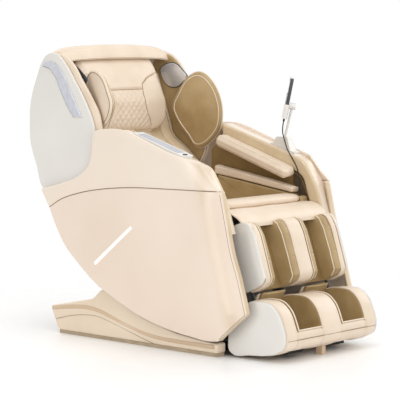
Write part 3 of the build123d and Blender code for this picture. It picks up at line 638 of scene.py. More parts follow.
def shade_band(material, tint):
    """A soft darker band on the pearl, parallel to the panel's sloping front edge. Its strength is
    exp(-((y - y0(z)) / width)^2), where y0 runs a little behind the edge."""
    tree = material.node_tree
    base = tree.nodes["Principled BSDF"].inputs["Base Color"]
    painted = base.links[0].from_socket
    mix = tree.nodes.new("ShaderNodeMix")
    mix.data_type = "RGBA"
    first, second = [socket for socket in mix.inputs if socket.type == "RGBA"]
    second.default_value = colour(*tint)
    tree.links.new(use_group(tree, SHADE)["Strength"], mix.inputs["Factor"])
    tree.links.new(painted, first)
    tree.links.new(next(socket for socket in mix.outputs if socket.type == "RGBA"), base)


print("finish helpers ready")

# %% [markdown]
# ## The finishes of this chair
# The leather comes in cream, sand and two tans, the paint in pearl and white. The deeper tan is painted
# shade for recesses, a near-black leather is painted shade in the arms' openings, and a darker beige is
# painted shade on the base's channel and the foot stand. A finish is two close colours and a few numbers,
# so a new one takes one line. The pearl also gets a soft darker band behind the panels' front edge, where
# the moulding turns away from the light.

# %% The chair's finishes
CREAM = leather("cream_leather", (226, 207, 184), (235, 218, 198))
TAN = leather("tan_leather", (166, 139, 94), (186, 160, 116), roughness=0.32)
SAND = leather("sand_leather", (208, 186, 151), (222, 202, 170), roughness=0.4)
# near-black leather: painted shade for the dark opening at the front of each arm channel
ARM_MOUTH_SHADE = leather("arm_mouth_painted_shade", (66, 52, 32), (84, 67, 43), roughness=0.5)
# a deeper tan: painted shade for the recessed arm walls and the calf channels' floors
TAN_RECESS_SHADE = leather("tan_leather_painted_shade", (124, 98, 54), (146, 119, 72), roughness=0.45)
WELT = leather("cream_welt", (230, 214, 190), (241, 228, 208), grain=900.0)
PEARL = paint("pearl_panel", (231, 212, 194), (238, 221, 205), 0.30, 0.55, scale=2.2, coat_roughness=0.16)
PEARL_ARM = paint("pearl_arm", (234, 218, 201), (239, 225, 209), 0.30, 0.55, scale=2.2, coat_roughness=0.2)
WHITE = paint("white_shell", (222, 219, 213), (231, 228, 222), 0.26, 0.5, scale=3.0)
BASE_PAINT = paint("base_plastic", (226, 207, 182), (233, 215, 192), 0.32, 0.4, scale=5.0)
# a darker beige: painted shade for the base covers' channel and the foot stand's shaded face
SHADED_BEIGE = paint("beige_painted_shade", (204, 178, 148), (212, 187, 157), 0.5, 0.1)
SEAM = paint("seam_shadow", (120, 98, 66), (138, 114, 80), 0.8, 0.0)
DARK_SEAM = paint("dark_seam", (70, 56, 36), (84, 68, 44), 0.85, 0.0)
SILVER = brushed("satin_silver", (196, 197, 203), (208, 209, 215), roughness=0.3)
SPEAKER_SILVER = brushed("speaker_silver", (205, 205, 208), (238, 238, 240), roughness=0.14, across=6.0,
                         along=14.0, relief=0.0022, metallic=0.4)
STEEL = brushed("bright_steel", (176, 177, 180), (204, 205, 208))
FRAME_PAINT = paint("frame_paint", (52, 54, 58), (64, 66, 70), 0.45, 0.1, scale=20.0)
BEIGE_RUBBER = paint("beige_rubber", (168, 150, 126), (182, 164, 139), 0.8, 0.0, scale=30.0)
BLACK_RUBBER = paint("black_rubber", (24, 24, 24), (34, 34, 34), 0.75, 0.0, scale=30.0)
DARK_PLASTIC = paint("dark_plastic", (46, 47, 52), (58, 59, 64), 0.42, 0.1, scale=25.0)
GREY_PLASTIC = paint("grey_plastic", (196, 196, 198), (208, 208, 210), 0.35, 0.2, scale=25.0)
SCREEN = paint("screen_glass", (150, 151, 160), (164, 165, 174), 0.12, 0.8, scale=6.0)
LIGHT_BAR = paint("light_diffuser", (252, 250, 244), (255, 254, 250), 0.3, 0.2)
light_shader = LIGHT_BAR.node_tree.nodes["Principled BSDF"]
light_shader.inputs["Emission Color"].default_value = colour(255, 250, 238)
light_shader.inputs["Emission Strength"].default_value = 0.5
for finish in (PEARL, PEARL_ARM):
    shade_band(finish, (208, 184, 152))
print("finishes:", len(bpy.data.materials))

# %% [markdown]
# ## Finishes on the CAD's own pieces
# Frames, rails, wheels and motors already have the right shape, so they only change material. A table
# from finish to nodes keeps this step short. The cord gets its rubber here and rides on the carriage.
# The soft pieces are replaced later, one by one.

# %% Finishes for the CAD nodes
NODE_FINISH = {
    FRAME_PAINT: ("base_frame", "seat_frame", "back_frame", "calf_frame"),
    BLACK_RUBBER: ("foot_glides", "cord_gland"),
    DARK_PLASTIC: ("slide_drive", "power_inlet", "power_switch", "transport_wheels", "roller_carriage",
                   "upper_rollers", "lower_rollers", "foot_rollers", "panel_key", "foot_tubes"),
    GREY_PLASTIC: ("air_pump", "control_box"),
    STEEL: ("slide_screw", "roller_rails", "roller_yoke"),
    WHITE: ("rear_cover", "control_panel", "handset_cradle", "holder_knob", "holder_post"),
    SCREEN: ("control_screen",),
    LIGHT_BAR: ("side_lights",),
    BASE_PAINT: ("base_rear_cover", "rear_lower_cover", "hinge_gearboxes"),
    # the foot stand's darker beige is painted shade
    SHADED_BEIGE: ("foot_stand",),
    BEIGE_RUBBER: ("floor_strips",),
}
for finish, names in NODE_FINISH.items():
    for name in names:
        slots = frame["nodes"][name].data.materials
        slots.clear()
        slots.append(finish)

cord_curve.materials.append(BLACK_RUBBER)
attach(cord, "carriage")
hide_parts("handset_cord")
print("CAD nodes with a new finish:", sum(map(len, NODE_FINISH.values())))

# %% [markdown]
# ## Base covers
# Each side of the base is a low moulded cover that rises in a wedge at the back. It is a plate with a
# soft rim. A shallow channel runs along it from the heel to the toe; a narrow darker strip that follows
# the channel's line reads as that shadowed groove without cutting the shell.

# %% Base covers
COVER_LINE = [(-384, 14), (545, 14), (563, 53), (588, 101), (584, 118), (330, 171), (282, 214), (254, 216),
              (124, 158), (25, 117), (-158, 75), (-355, 56), (-384, 56)]
CHANNEL_LINE = [(578, 108), (470, 122), (368, 130), (282, 120), (200, 98), (115, 75), (40, 58), (-36, 47),
                (-180, 41), (-370, 40)]
CHANNEL_SECTION = np.array([(-8, 0.0), (-6, 0.9), (0, 0.5), (6, 0.9), (8, 0.0), (0, -3)])    # (across, out)
LOWER_SEAM = [(556, 60), (470, 82), (383, 95), (319, 98), (190, 73), (90, 47), (11, 26), (-30, 17)]
cover_face = limits("base_covers")[1][0]
for label, side in SIDES:
    dress(plate(f"base_cover_{label}", rounded(COVER_LINE, 260, 10), 292, cover_face - 2, 7, BASE_PAINT,
                "base", crown=2, side=side))
    channel = smooth_line(CHANNEL_LINE, 90)
    rim_x = side * (cover_face - 0.6)
    flat = channel[:, None, :] + CHANNEL_SECTION[None, :, :1] * normals(channel)[:, None, :]
    x = np.full(flat.shape[:2], rim_x) + side * CHANNEL_SECTION[None, :, 1]
    dress(capped_tube(f"base_channel_{label}", np.dstack([x, flat]), SHADED_BEIGE, "base"))
    welt(f"base_seam_{label}", at_x(smooth_line(LOWER_SEAM, 60), rim_x), 0.9, SEAM, "base")
stands_for("base_cover_left", "base_covers")
made("base covers")

# %% [markdown]
# ## Side panels
# The big pearl panels are thin shells that bow outwards and turn in towards their front edge, which is
# what makes the long bright reflection there. A plate with a fall near the front and the bottom gives
# that. The upper panel carries on above a fine seam, and dips at the back where the white shell tucks in.

# %% Side panels
PANEL_FACE, PANEL_BACK = limits("side_panels_lower")[1][0], 372
SEAM_LINE = [(566, 552), (500, 588), (376, 626), (240, 650), (100, 664), (-150, 672), (-408, 676)]
FRONT_EDGE = [(-408, 676), (-440, 540), (-468, 430), (-500, 340), (-545, 190)]
TOE_EDGE = [(-545, 190), (-407, 70)]
BOTTOM_EDGE = [(-407, 70), (-355, 65), (-260, 73), (-158, 86), (-60, 106), (25, 130), (124, 169),
               (200, 202), (260, 229)]
REAR_EDGE = [(260, 229), (326, 272), (400, 330), (465, 387), (525, 473), (566, 552)]
TOP_EDGE = [(-300, 782), (-220, 804), (-137, 825), (-60, 850), (5, 872), (70, 893), (120, 905), (175, 909),
            (240, 904), (286, 895)]
STEP_EDGE = [(286, 895), (300, 862), (304, 800), (322, 748), (378, 702), (477, 666), (616, 630)]
EDGE_Z = [70, 190, 340, 540, 676, 782]                # the sloping front edge: heights, and Y at each
EDGE_Y = [-520, -545, -500, -440, -408, -300]
FRONT_REACH, FRONT_FALL = 150, 20                     # where the panel turns in at its front, and how far
FOOT_REACH, FOOT_FALL = 110, 7                        # the same at its foot


def turn_in(y, z):
    """How far the panel falls back: 20 f^2.2 + 7 g^2, with f from 0 to 1 over the last 150 mm before the
    front edge and g from 0 to 1 over the lowest 110 mm."""
    near_front = np.clip(1 - (y - np.interp(z, EDGE_Z, EDGE_Y)) / FRONT_REACH, 0, 1)
    near_foot = np.clip(1 - (z - EDGE_Z[0]) / FOOT_REACH, 0, 1)
    return FRONT_FALL * near_front**2.2 + FOOT_FALL * near_foot**2


def bend_in(rings):
    """The same fall for a piece that is made as rings."""
    bent = rings.copy()
    bent[..., 0] -= np.sign(rings[..., 0]) * turn_in(rings[..., 1], rings[..., 2])
    return bent


lower_outline = even(np.vstack([smooth_line(SEAM_LINE, 160), smooth_line(FRONT_EDGE, 90)[1:],
                                even(TOE_EDGE, 30)[1:], smooth_line(BOTTOM_EDGE, 120)[1:],
                                smooth_line(REAR_EDGE, 90)[1:-1]]), 420, closed=True)
upper_top = even(np.vstack([[(-406, 681), (-360, 718)], smooth_line(TOP_EDGE, 80),
                            smooth_line(STEP_EDGE, 80)]), 160)
upper_foot = smooth_line(SEAM_LINE[::-1], 160) + (0, 1.8)
seam_line = smooth_line(SEAM_LINE, 120)
for label, side in SIDES:
    dress(plate(f"side_panel_lower_{label}", lower_outline, PANEL_BACK - 6, PANEL_FACE - 3, 3.0, PEARL,
                "carriage", crown=5, fall=turn_in, side=side, rings=40))
    dress(bolster(f"side_panel_upper_{label}", upper_top, upper_foot, *span(side, 366, PANEL_FACE - 1), 3.5,
                  PEARL_ARM, "carriage", stations=150, across=8, warp=bend_in))
    seam = np.column_stack([side * (PANEL_FACE - 3.4 - turn_in(*seam_line.T)), seam_line + (0, 0.8)])
    welt(f"side_seam_{label}", seam[:-2], 1.1, SEAM, "carriage")
front_edge = np.vstack([smooth_line(FRONT_EDGE, 90), even(TOE_EDGE, 40)[1:]])
for label, side in SIDES:
    dress(bolster(f"side_return_{label}", front_edge, front_edge + (13, 2), *span(side, 346, 369), 4, SAND,
                  "carriage", end_radius=3, stations=100, warp=bend_in))
    line = front_edge + (4, 0)
    line = np.column_stack([side * (PANEL_FACE - 3.2 - turn_in(*line.T)), line])
    welt(f"side_line_{label}", line[2:-3], 0.9, SEAM, "carriage")
stands_for("side_panel_lower_left", "side_panels_lower")
stands_for("side_panel_upper_left", "side_panels_upper")
made("side panels")

# %% [markdown]
# ## Arms
# An arm is a pearl rail that runs from the shoulder down to the hand and bends to the floor, with a
# padded channel inside it for the forearm. The rail is a bolster between the outer and the inner line
# of its side view. A shelf, an inner wall and a dark mouth line the channel, each one a plate. The
# wall's deeper tan is painted shade under the pads, and the mouth's near-black is painted shade for
# the channel's opening.

# %% Arm rails and inner walls
RAIL_OUTER = [(-438, 502), (-414, 570), (-390, 638), (-352, 704), (-302, 766), (-262, 780), (-60, 841),
              (146, 903)]
RAIL_INNER = [(-376, 502), (-357, 562), (-336, 622), (-302, 698), (-264, 718), (-240, 728), (-60, 785),
              (146, 852)]
TAIL_LINES = pair_lines([(146, 903), (210, 902), (272, 896)], [(146, 862), (210, 868), (278, 872)])
ARM_SHELF = [(145, 482), (145, 679), (-281, 620), (-285, 612), (-330, 612), (-344, 530), (-333, 482)]
ARM_WALL = [(226, 482), (226, 790), (145, 845), (-257, 713), (-293, 695), (-329, 618), (-361, 505),
            (-361, 482)]
ARM_MOUTH = [(-250, 706), (-291, 688), (-325, 618), (-345, 560), (-318, 560), (-286, 630), (-250, 662)]
ARM_PLATES = (                            # name, outline, X from back to face, rim, finish, slot
    ("shelf", rounded(ARM_SHELF, 200, 8), 299, 253, 7, TAN, "cream_leather"),
    # the wall's deeper tan is painted shade under the forearm pads
    ("wall", rounded(ARM_WALL, 200, 8), 315, 301, 3, TAN_RECESS_SHADE, "tan_leather"),
    # the mouth's near-black is painted shade for the channel's opening
    ("mouth", rounded(ARM_MOUTH, 160, 6), 302, 299.5, 1, ARM_MOUTH_SHADE, "tan_leather"),
)
outer_line, inner_line = pair_lines(RAIL_OUTER, RAIL_INNER, 120)
for label, side in SIDES:
    dress(bolster(f"arm_rail_{label}", outer_line, inner_line, *span(side, 301, 371), 12, PEARL_ARM,
                  "carriage", crown=1.5, end_radius=4, stations=110, warp=bend_in))
    dress(bolster(f"arm_facing_{label}", outer_line, inner_line, *span(side, 288.5, 304), 7, SAND,
                  "carriage", end_radius=4, stations=110))
    welt(f"arm_facing_welt_{label}", at_x(outer_line[2:-2] + (0, 0.5), side * 302), 2.0, WELT, "carriage")
    dress(bolster(f"arm_tail_{label}", *TAIL_LINES, *span(side, 346.5, 371), 8, PEARL_ARM, "carriage",
                  end_radius=4))
    for part, outline, x_back, x_face, rim, finish, slot in ARM_PLATES:
        dress(plate(f"arm_{part}_{label}", outline, x_back, x_face, rim, finish, "carriage", side=side))
stands_for("arm_rail_left", "arm_rails")
stands_for("arm_shelf_left", "arm_inner_walls")
made("arm rails and inner walls")

# %% [markdown]
# ## Forearm pads
# Each forearm slips in between two pads: a puffy flap that hangs under the rail and a flatter bed on the
# shelf. The flap's section is drawn once and carried down a straight slope. It swells three times on the
# way and draws in over its last 30 mm, which is how a stuffed tube sewn in chambers looks.

# %% Arm pads
PAD_SLOPE, PAD_LENGTH = radians(18), 436
PAD_START = (140, 853)                    # (Y, Z) of the section's own zero at the upper end
PAD_SECTION = [(298.5, -5), (298.5, -26), (268, -36), (240, -39), (227, -30), (224.5, -8), (236, 9),
               (262, 12), (285.5, 11.5), (285.5, -5)]
PAD_CORNERS = {"lower": (240, -39), "upper": (236, 9)}
PAD_ENDS, PAD_CHAMBERS = 30, 3
BED_LINES = pair_lines([(164, 721), (0, 696), (-200, 664), (-286, 646)],
                       [(164, 684), (0, 664), (-200, 636), (-281, 625)])
ahead = np.array([-cos(PAD_SLOPE), -sin(PAD_SLOPE)])
upward = np.array([-sin(PAD_SLOPE), cos(PAD_SLOPE)])
section = rounded(PAD_SECTION, 120, 5)
run = np.linspace(0, PAD_LENGTH, 90)
shrink = 1 - 0.6 * np.clip(1 - np.minimum(run, PAD_LENGTH - run) / PAD_ENDS, 0, 1) ** 2.4
puff = 1 + 0.035 * np.abs(np.sin(run / PAD_LENGTH * pi * PAD_CHAMBERS))
middle = section.mean(axis=0)
across = middle[0] + (section[None, :, 0] - middle[0]) * shrink[:, None]
height = middle[1] + (section[None, :, 1] - middle[1]) * (shrink * np.minimum(puff, 1 / shrink))[:, None]
for label, side in SIDES:
    rings = np.stack([side * across, PAD_START[0] + run[:, None] * ahead[0] + height * upward[0],
                      PAD_START[1] + run[:, None] * ahead[1] + height * upward[1]], axis=-1)
    dress(capped_tube(f"arm_pad_upper_{label}", rings, CREAM, "carriage"))
    for tag, corner in PAD_CORNERS.items():
        welt(f"arm_pad_welt_{tag}_{label}", rings[3:-3, nearest(section, corner)], 2.2, WELT, "carriage")
    dress(bolster(f"arm_pad_lower_{label}", *BED_LINES, *span(side, 252, 299), 7, CREAM, "carriage",
                  crown=2.5))
stands_for("arm_pad_upper_left", "arm_upper_pads")
stands_for("arm_pad_lower_left", "arm_lower_pads")
made("forearm pads")

# %% [markdown]
# ## Seat
# The seat is one long cushion, quilted in diamonds where the sitter's weight rests, with a plain roll
# along its front edge. Quilting pulls the leather down along two families of slanting lines. Its height
# is a product of two sines in turned coordinates, so every diamond comes out as a small pillow.

# %% Seat cushion and front roll
DIAMOND = 37                              # distance between neighbouring quilting seams
SEAT_HALF, SEAT_QUILT, SEAT_SEAM = 245, 150, 154


def quilting(x, y, height):
    """Diamond pillows: height * sqrt|sin(a) sin(b)|, where a and b run along the two slanting directions."""
    a = pi * (x + y) / DIAMOND
    b = pi * (x - y) / DIAMOND
    return height * np.sqrt(np.abs(np.sin(a) * np.sin(b)))


def groove(distance, depth, width):
    """A sewn channel: -depth * exp(-(distance / width)^2), nearly gone one and a half widths away."""
    return -depth * np.exp(-(distance / width) ** 2)


def seat_relief(s, u):
    """Quilting in the middle, and one seam down each side of it."""
    x, y = 246 * u, 370 * s
    middle = np.clip((SEAT_QUILT - np.abs(x)) / 6, 0, 1)
    return quilting(x, y, 3.0) * middle + groove(np.abs(x) - SEAT_SEAM, 4, 5)


def swing(turn, power):
    """A cosine or sine value raised to a power with its sign kept: below 1 it squares a circle off."""
    return np.sign(turn) * np.abs(turn) ** power


seat = dress(bolster("seat_pad", *pair_lines([(128, 557), (40, 566), (-100, 581), (-234, 594)],
                                             [(130, 484), (40, 484), (-100, 484), (-234, 484)]),
                     -SEAT_HALF, SEAT_HALF, 16, SAND, "carriage", crown=2, stations=170, across=190,
                     relief=seat_relief))
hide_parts("seat_cushion")
dress(bolster("seat_nose", *pair_lines([(-234, 581), (-290, 581), (-328, 578)],
                                       [(-234, 484), (-290, 484), (-328, 487)]),
              -SEAT_HALF, SEAT_HALF, 12, CREAM, "carriage"))
for label, side in SIDES[::-1]:
    seam = on_face("seat_pad", np.linspace(0.04, 0.96, 90), np.full(90, side * SEAT_SEAM / 229))
    welt(f"seat_welt_{label}", seam, 1.6, WELT, "carriage")
roll_turn = np.linspace(0, 2 * pi, 48, endpoint=False)
roll_x = np.linspace(-1, 1, 90)
roll_end = (1 - np.abs(roll_x) ** 14)[:, None] * 0.55 + 0.45
roll_rings = np.stack([np.repeat(250 * roll_x[:, None], 48, axis=1),
                       -293 + 55 * roll_end * swing(np.cos(roll_turn), 0.75),
                       605 + 20.5 * roll_end * swing(np.sin(roll_turn), 0.85)], axis=-1)
front_roll = dress(capped_tube("seat_roll", roll_rings, CREAM, "carriage"))
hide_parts("seat_front_roll")
welt("seat_roll_welt", level_line(-244, 244, -240, 598, 60), 2.2, WELT, "carriage")
made("seat")

# %% [markdown]
# ## Back cushion
# The back cushion climbs from the seat to the top of the backrest. Low down it curves, and above that it
# is straight and leans back 20 degrees, so its points there are given as a distance up and a distance
# behind the face. The lumbar area is quilted, between two seams.

# %% Back cushion
BACK_FOOT, BACK_LEAN = np.array([455, 850]), radians(20)
BACK_UP = np.array([sin(BACK_LEAN), cos(BACK_LEAN)])
BACK_REAR = np.array([cos(BACK_LEAN), -sin(BACK_LEAN)])
BACK_QUILT, BACK_SEAM = 140, 146


def back_point(up, rear):
    """(Y, Z) along the back cushion and behind its face, from where its straight part starts."""
    return tuple(BACK_FOOT + up * BACK_UP + rear * BACK_REAR)


def back_relief(s, u):
    """Quilting over the lumbar area between two seams that run up the back."""
    x, y = 236 * u, 690 * s
    middle = np.clip((BACK_QUILT - np.abs(x)) / 6, 0, 1)
    return quilting(x, y, 3.2) * middle + groove(np.abs(x) - BACK_SEAM, 4, 5)


BACK_FRONT_LINE = [(182, 634), (270, 702), (370, 780), (455, 850), back_point(150, 0), back_point(320, 0)]
BACK_REAR_LINE = [(206, 604), (300, 678), (400, 757), (478, 822), back_point(150, 38), back_point(320, 38)]
lumbar = dress(bolster("back_pad", *pair_lines(BACK_FRONT_LINE, BACK_REAR_LINE, 120), -235, 235, 14, SAND,
                       "backrest", crown=3, stations=200, across=180, relief=back_relief))
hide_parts("back_cushion")
for label, side in SIDES[::-1]:
    seam = on_face("back_pad", np.linspace(0.03, 0.55, 90), np.full(90, side * BACK_SEAM / 221))
    welt(f"back_welt_{label}", seam, 1.6, WELT, "backrest")
made("back cushion")

# %% [markdown]
# ## Side bolsters of the back
# A firm bolster on each side keeps the sitter in the middle. It follows the back cushion a little in
# front of its face, and a light welt with a dark seam beside it runs along its whole length.

# %% Side bolsters of the back
SIDE_FRONT = [(240, 676), (300, 726), (380, 790), (462, 852)] + [back_point(up, 6) for up in (60, 150, 300)]
SIDE_REAR = [(262, 650), (325, 702), (400, 762), (492, 826)] + [back_point(up, 38) for up in (60, 150, 300)]
for label, side in SIDES:
    name = f"back_side_{label}"
    dress(bolster(name, *pair_lines(SIDE_FRONT, SIDE_REAR, 120), *span(side, 238, 317), 13, SAND,
                  "backrest", crown=4, stations=120, across=40))
    for u, radius, finish, tag in ((0.62, 2.2, WELT, "light"), (0.5, 1.5, DARK_SEAM, "dark")):
        seam = on_face(name, np.linspace(0.02, 0.98, 120), np.full(120, side * u))
        welt(f"back_side_{tag}_{label}", seam, radius, finish, "backrest")
made("side bolsters")

# %% [markdown]
# ## Head and shoulder pad
# This loose pad lies over the upper part of the back cushion: a quilted middle, two smooth lobes beside
# it and a smooth headrest above, all sewn together along curved seams. Each seam is pulled in as a
# groove, a thin bead marks it, and two rows of stitches follow the one across.

# %% Head and shoulder pad
HEAD_FRONT = [(462, 868), (443, 884), (435, 921), (434, 962), (436, 1003), (455, 1046), (478, 1092),
              (494, 1126), (510, 1155), (524, 1172), (540, 1187), (562, 1199)]
HEAD_REAR = [back_point(up, -1) for up in (20, 45, 90, 130, 170, 210, 240, 270, 290, 305, 315, 324)]
LOBE_Z = np.array([868, 900, 940, 986, 1030, 1077, 1104, 1124])       # the lobes' curved seam: heights,
LOBE_X = np.array([190, 153, 124, 108, 108, 124, 170, 240])           # and distances from the middle
HEAD_HALF, HEAD_SEAM_Z = 236, 1055
head_front, head_rear = pair_lines(HEAD_FRONT, HEAD_REAR, 140)
head_run = np.linspace(0, 1, 140)


def head_share(z):
    """How far along the pad, from 0 to 1, its face reaches a height."""
    return np.interp(z, head_front[:, 1], head_run)


def head_relief(s, u):
    """Two lobes, a quilted panel between them, and the headrest above. A lobe and the headrest rise with
    the square root of the distance from their seam, up to 60 mm from it."""
    z = np.interp(s, head_run, head_front[:, 1])
    x = np.abs(HEAD_HALF * u)
    seam_x = np.interp(z, LOBE_Z, LOBE_X) + np.clip(z - LOBE_Z[-1], 0, None) * 6
    off_seam = (x - seam_x) * 0.85
    lobe = 7 * np.sqrt(np.clip(np.minimum(off_seam, 240 - x) / 60, 0, 1))
    inside = off_seam < -6
    quilt = quilting(x, z, 3.4) * inside * (z < HEAD_SEAM_Z - 5)
    pillow = 6 * np.sqrt(np.clip((z - HEAD_SEAM_Z) / 60, 0, 1)) * inside
    cross = groove(z - HEAD_SEAM_Z, 4, 5) * inside
    return lobe + quilt + pillow + cross + groove(off_seam, 5, 6)


def head_narrow(s):
    """The pad's lower corners are well rounded and its upper ones a little."""
    return 84 * np.clip(1 - s / 0.2, 0, 1) ** 2.2 + 16 * np.clip(1 - (1 - s) / 0.1, 0, 1) ** 2


head = dress(bolster("head_cushion", head_front, head_rear, -239, 239, 22, CREAM, "backrest", crown=2,
                     stations=190, across=190, relief=head_relief, narrow=head_narrow, end_radius=14))
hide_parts("head_pad")
seam_z = np.linspace(872, 1122, 120)
for label, side in SIDES:
    seam = on_face("head_cushion", head_share(seam_z), side * np.interp(seam_z, LOBE_Z, LOBE_X) / HEAD_HALF)
    welt(f"head_lobe_welt_{label}", seam, 1.3, SEAM, "backrest")
for offset, tag in ((0, None), (-6, "lower"), (6, "upper")):
    seam = on_face("head_cushion", np.full(60, head_share(HEAD_SEAM_Z + offset)),
                   np.linspace(-112, 112, 60) / HEAD_HALF)
    if tag is None:
        welt("head_cross_seam", seam, 1.2, SEAM, "backrest")
    else:
        dress(stitches(f"head_stitch_{tag}", seam + (0, -0.3, 0), WELT, "backrest"))
made("head and shoulder pad")

# %% [markdown]
# ## Backrest shell
# The white side shells carry the backrest's outline. Each has a brushed silver strip along its front,
# with a dark bead behind it. A strip is a bolster only 5 mm thick, so its two edges can run freely.

# %% Side shells and accent strips
SHELL_LINE = [(626, 626), (670, 729), (706, 825), (711, 926), (705, 1001), (684, 1072), (655, 1138),
              (632, 1182), (604, 1212), (570, 1224), (532, 1216), (489, 1182), (428, 1106), (367, 1022),
              (326, 951), (306, 893), (304, 850), (312, 770), (420, 640), (540, 610)]
STRIP_FRONT = [(380, 948), (394, 971), (449, 1064), (497, 1139), (540, 1177), (584, 1185), (616, 1180)]
STRIP_REAR = [(430, 948), (462, 986), (510, 1062), (547, 1126), (584, 1156), (602, 1161), (619, 1165)]
shell_outline = rounded(SHELL_LINE, 300, 10, curve=500)
for label, side in SIDES:
    dress(plate(f"back_shell_{label}", shell_outline, 343.5, 355, 5, WHITE, "backrest", crown=1, side=side,
                rings=20))
    dress(bolster(f"accent_strip_{label}", *pair_lines(STRIP_FRONT, STRIP_REAR, 90), *span(side, 354, 359),
                  1.6, SILVER, "backrest", end_radius=3, stations=90, across=8))
    welt(f"accent_edge_{label}", at_x(smooth_line(STRIP_REAR, 90), side * 356.6), 1.8, DARK_PLASTIC,
         "backrest")
stands_for("back_shell_left", "back_side_shells")
stands_for("accent_strip_left", "accent_strips")
made("side shells")

# %% [markdown]
# ## Padded walls and speakers
# Inside each shell is a padded wall with a cream front edge and a tan inner face. The face is the same
# outline drawn in a little, so the cream shows as a border. By the ear sits a speaker: a shallow bright
# dome in a dark rim.

# %% Padded walls and speakers
WALL_LINE = [(602, 1180), (566, 1209), (514, 1214), (462, 1186), (396, 1107), (332, 1024), (291, 955),
             (279, 893), (288, 765), (410, 648), (540, 860), (596, 1082)]
SPEAKER_LINE = [(383, 1108), (412, 1138), (454, 1167), (504, 1169), (534, 1158), (556, 1139), (546, 1106),
                (517, 1068), (480, 1056), (442, 1059), (410, 1080)]
wall_outline = rounded(WALL_LINE, 300, 12, curve=500)
speaker_outline = rounded(SPEAKER_LINE, 200, 5, curve=400)
for label, side in SIDES:
    dress(plate(f"wall_edge_{label}", wall_outline, 342.5, 327, 7, CREAM, "backrest", side=side))
    dress(plate(f"wall_face_{label}", shrunk(wall_outline, 0.965), 330, 320.5, 6, TAN, "backrest", crown=2,
                side=side))
for label, side in SIDES:
    dress(plate(f"speaker_rim_{label}", speaker_outline, 320, 317, 1.2, DARK_PLASTIC, "backrest", side=side))
    dress(plate(f"speaker_shell_{label}", shrunk(speaker_outline, 0.94), 318, 314, 2.5, SPEAKER_SILVER,
                "backrest", crown=4, side=side, rings=24))
stands_for("wall_edge_left", "wall_pads")
stands_for("speaker_shell_left", "speakers")
made("walls and speakers")

# %% [markdown]
# ## Hood
# The hood is a padded cap over the top. Its side-view profile is carried across the chair and pressed
# lower towards the sides, so that it comes down as a soft arch. Its stations follow a sine, which puts
# more of them near the ends, where it curves most.

# %% Hood
HOOD_PROFILE = [(606, 1101), (604, 1160), (600, 1206), (560, 1207), (530, 1196), (514, 1190), (508, 1200),
                (514, 1222), (527, 1242), (543, 1252), (560, 1255.5), (582, 1255), (603, 1249), (620, 1232),
                (634, 1208), (645, 1184), (654, 1156), (664, 1126), (673, 1101)]
HOOD_X = [0, 80, 160, 230, 270, 300, 322, 336, 343]
HOOD_TOP = [1256, 1255.5, 1253.5, 1249, 1245, 1239, 1230, 1212, 1188]
HOOD_FOOT, HOOD_RISE = 1101, 155          # the profile's lowest height, and its rise in the middle
HOOD_WELTS = {"front": (509, 1200), "rear": (628, 1228)}
hood_section = rounded(HOOD_PROFILE, 160, 9)
hood_x = np.sin(np.linspace(-pi / 2, pi / 2, 110)) * 342
hood_top = np.interp(np.abs(hood_x), HOOD_X, HOOD_TOP) - 0.8
hood_rings = np.empty((110, 160, 3))
hood_rings[..., 0] = hood_x[:, None]
hood_rings[..., 1] = hood_section[None, :, 0]
hood_stretch = (hood_top - HOOD_FOOT) / HOOD_RISE
hood_rings[..., 2] = HOOD_FOOT + (hood_section[None, :, 1] - HOOD_FOOT) * hood_stretch[:, None]
hood = dress(capped_tube("hood_cover", hood_rings, CREAM, "backrest"))
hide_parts("hood")
for tag, corner in HOOD_WELTS.items():
    welt(f"hood_welt_{tag}", hood_rings[8:-8, nearest(hood_section, corner)], 2.0, WELT, "backrest")
made("hood")

# %% [markdown]
# ## Shoulder wings
# The wings reach forward beside the shoulders. Outside they are cream, inside they are tan with one big
# bulge over the air cell, and a welt runs round the edge. Each wing is two plates back to back, so the
# colours meet exactly on the welt. The two sides have their own outlines: the right wing is the smaller.

# %% Wings
WING_PIVOT = (308, 303)                   # (X, Y) where the middle of the wing passes the wall's front edge
WING_TURN = radians(12)
WING_LINES = {
    "left": [(6, 1133), (-30, 1124), (-68, 1090), (-108, 1018), (-120, 940), (-108, 876), (-70, 828),
             (-20, 792), (10, 788), (46, 832), (116, 918), (139, 972), (110, 1034), (48, 1116)],
    "right": [(84, 1147), (27, 1140), (-16, 1110), (-46, 1061), (-72, 1013), (-56, 956), (-14, 914),
              (30, 888), (84, 922), (126, 985), (128, 1060), (116, 1122)]}
WING_WELTS = (                            # name, share of the outline, distance out, radius, finish
    ("rim", 1.0, 0.5, 3.2, WELT), ("back", 0.93, 7.6, 1.3, SEAM), ("face", 0.9, -15.5, 2.2, WELT))


def flare(side):
    """Turns a flat wing (out, along, up) about an upright line so that it opens outwards at its front."""
    def turned(points):
        out, along = points[..., 0], points[..., 1]
        moved = points.copy()
        moved[..., 0] = side * (WING_PIVOT[0] + out * cos(WING_TURN) - along * sin(WING_TURN))
        moved[..., 1] = WING_PIVOT[1] + out * sin(WING_TURN) + along * cos(WING_TURN)
        return moved
    return turned


for label, side in SIDES:
    turned = flare(side)
    outline = rounded(WING_LINES[label], 280, 30, curve=500)
    dress(plate(f"wing_outer_{label}", outline, 0.5, 7, 6, CREAM, "backrest", crown=2, back_rim=0.5,
                warp=turned))
    dress(plate(f"wing_inner_{label}", outline, 0.5, -15, 14, TAN, "backrest", crown=19, back_rim=0.5,
                rings=28, warp=turned))
    for tag, share, out, radius, finish in WING_WELTS:
        line = outline if share == 1 else shrunk(outline, share)
        welt(f"wing_{tag}_welt_{label}", turned(at_x(line, out)), radius, finish, "backrest", closed=True)
stands_for("wing_outer_left", "shoulder_wings")
made("wings")

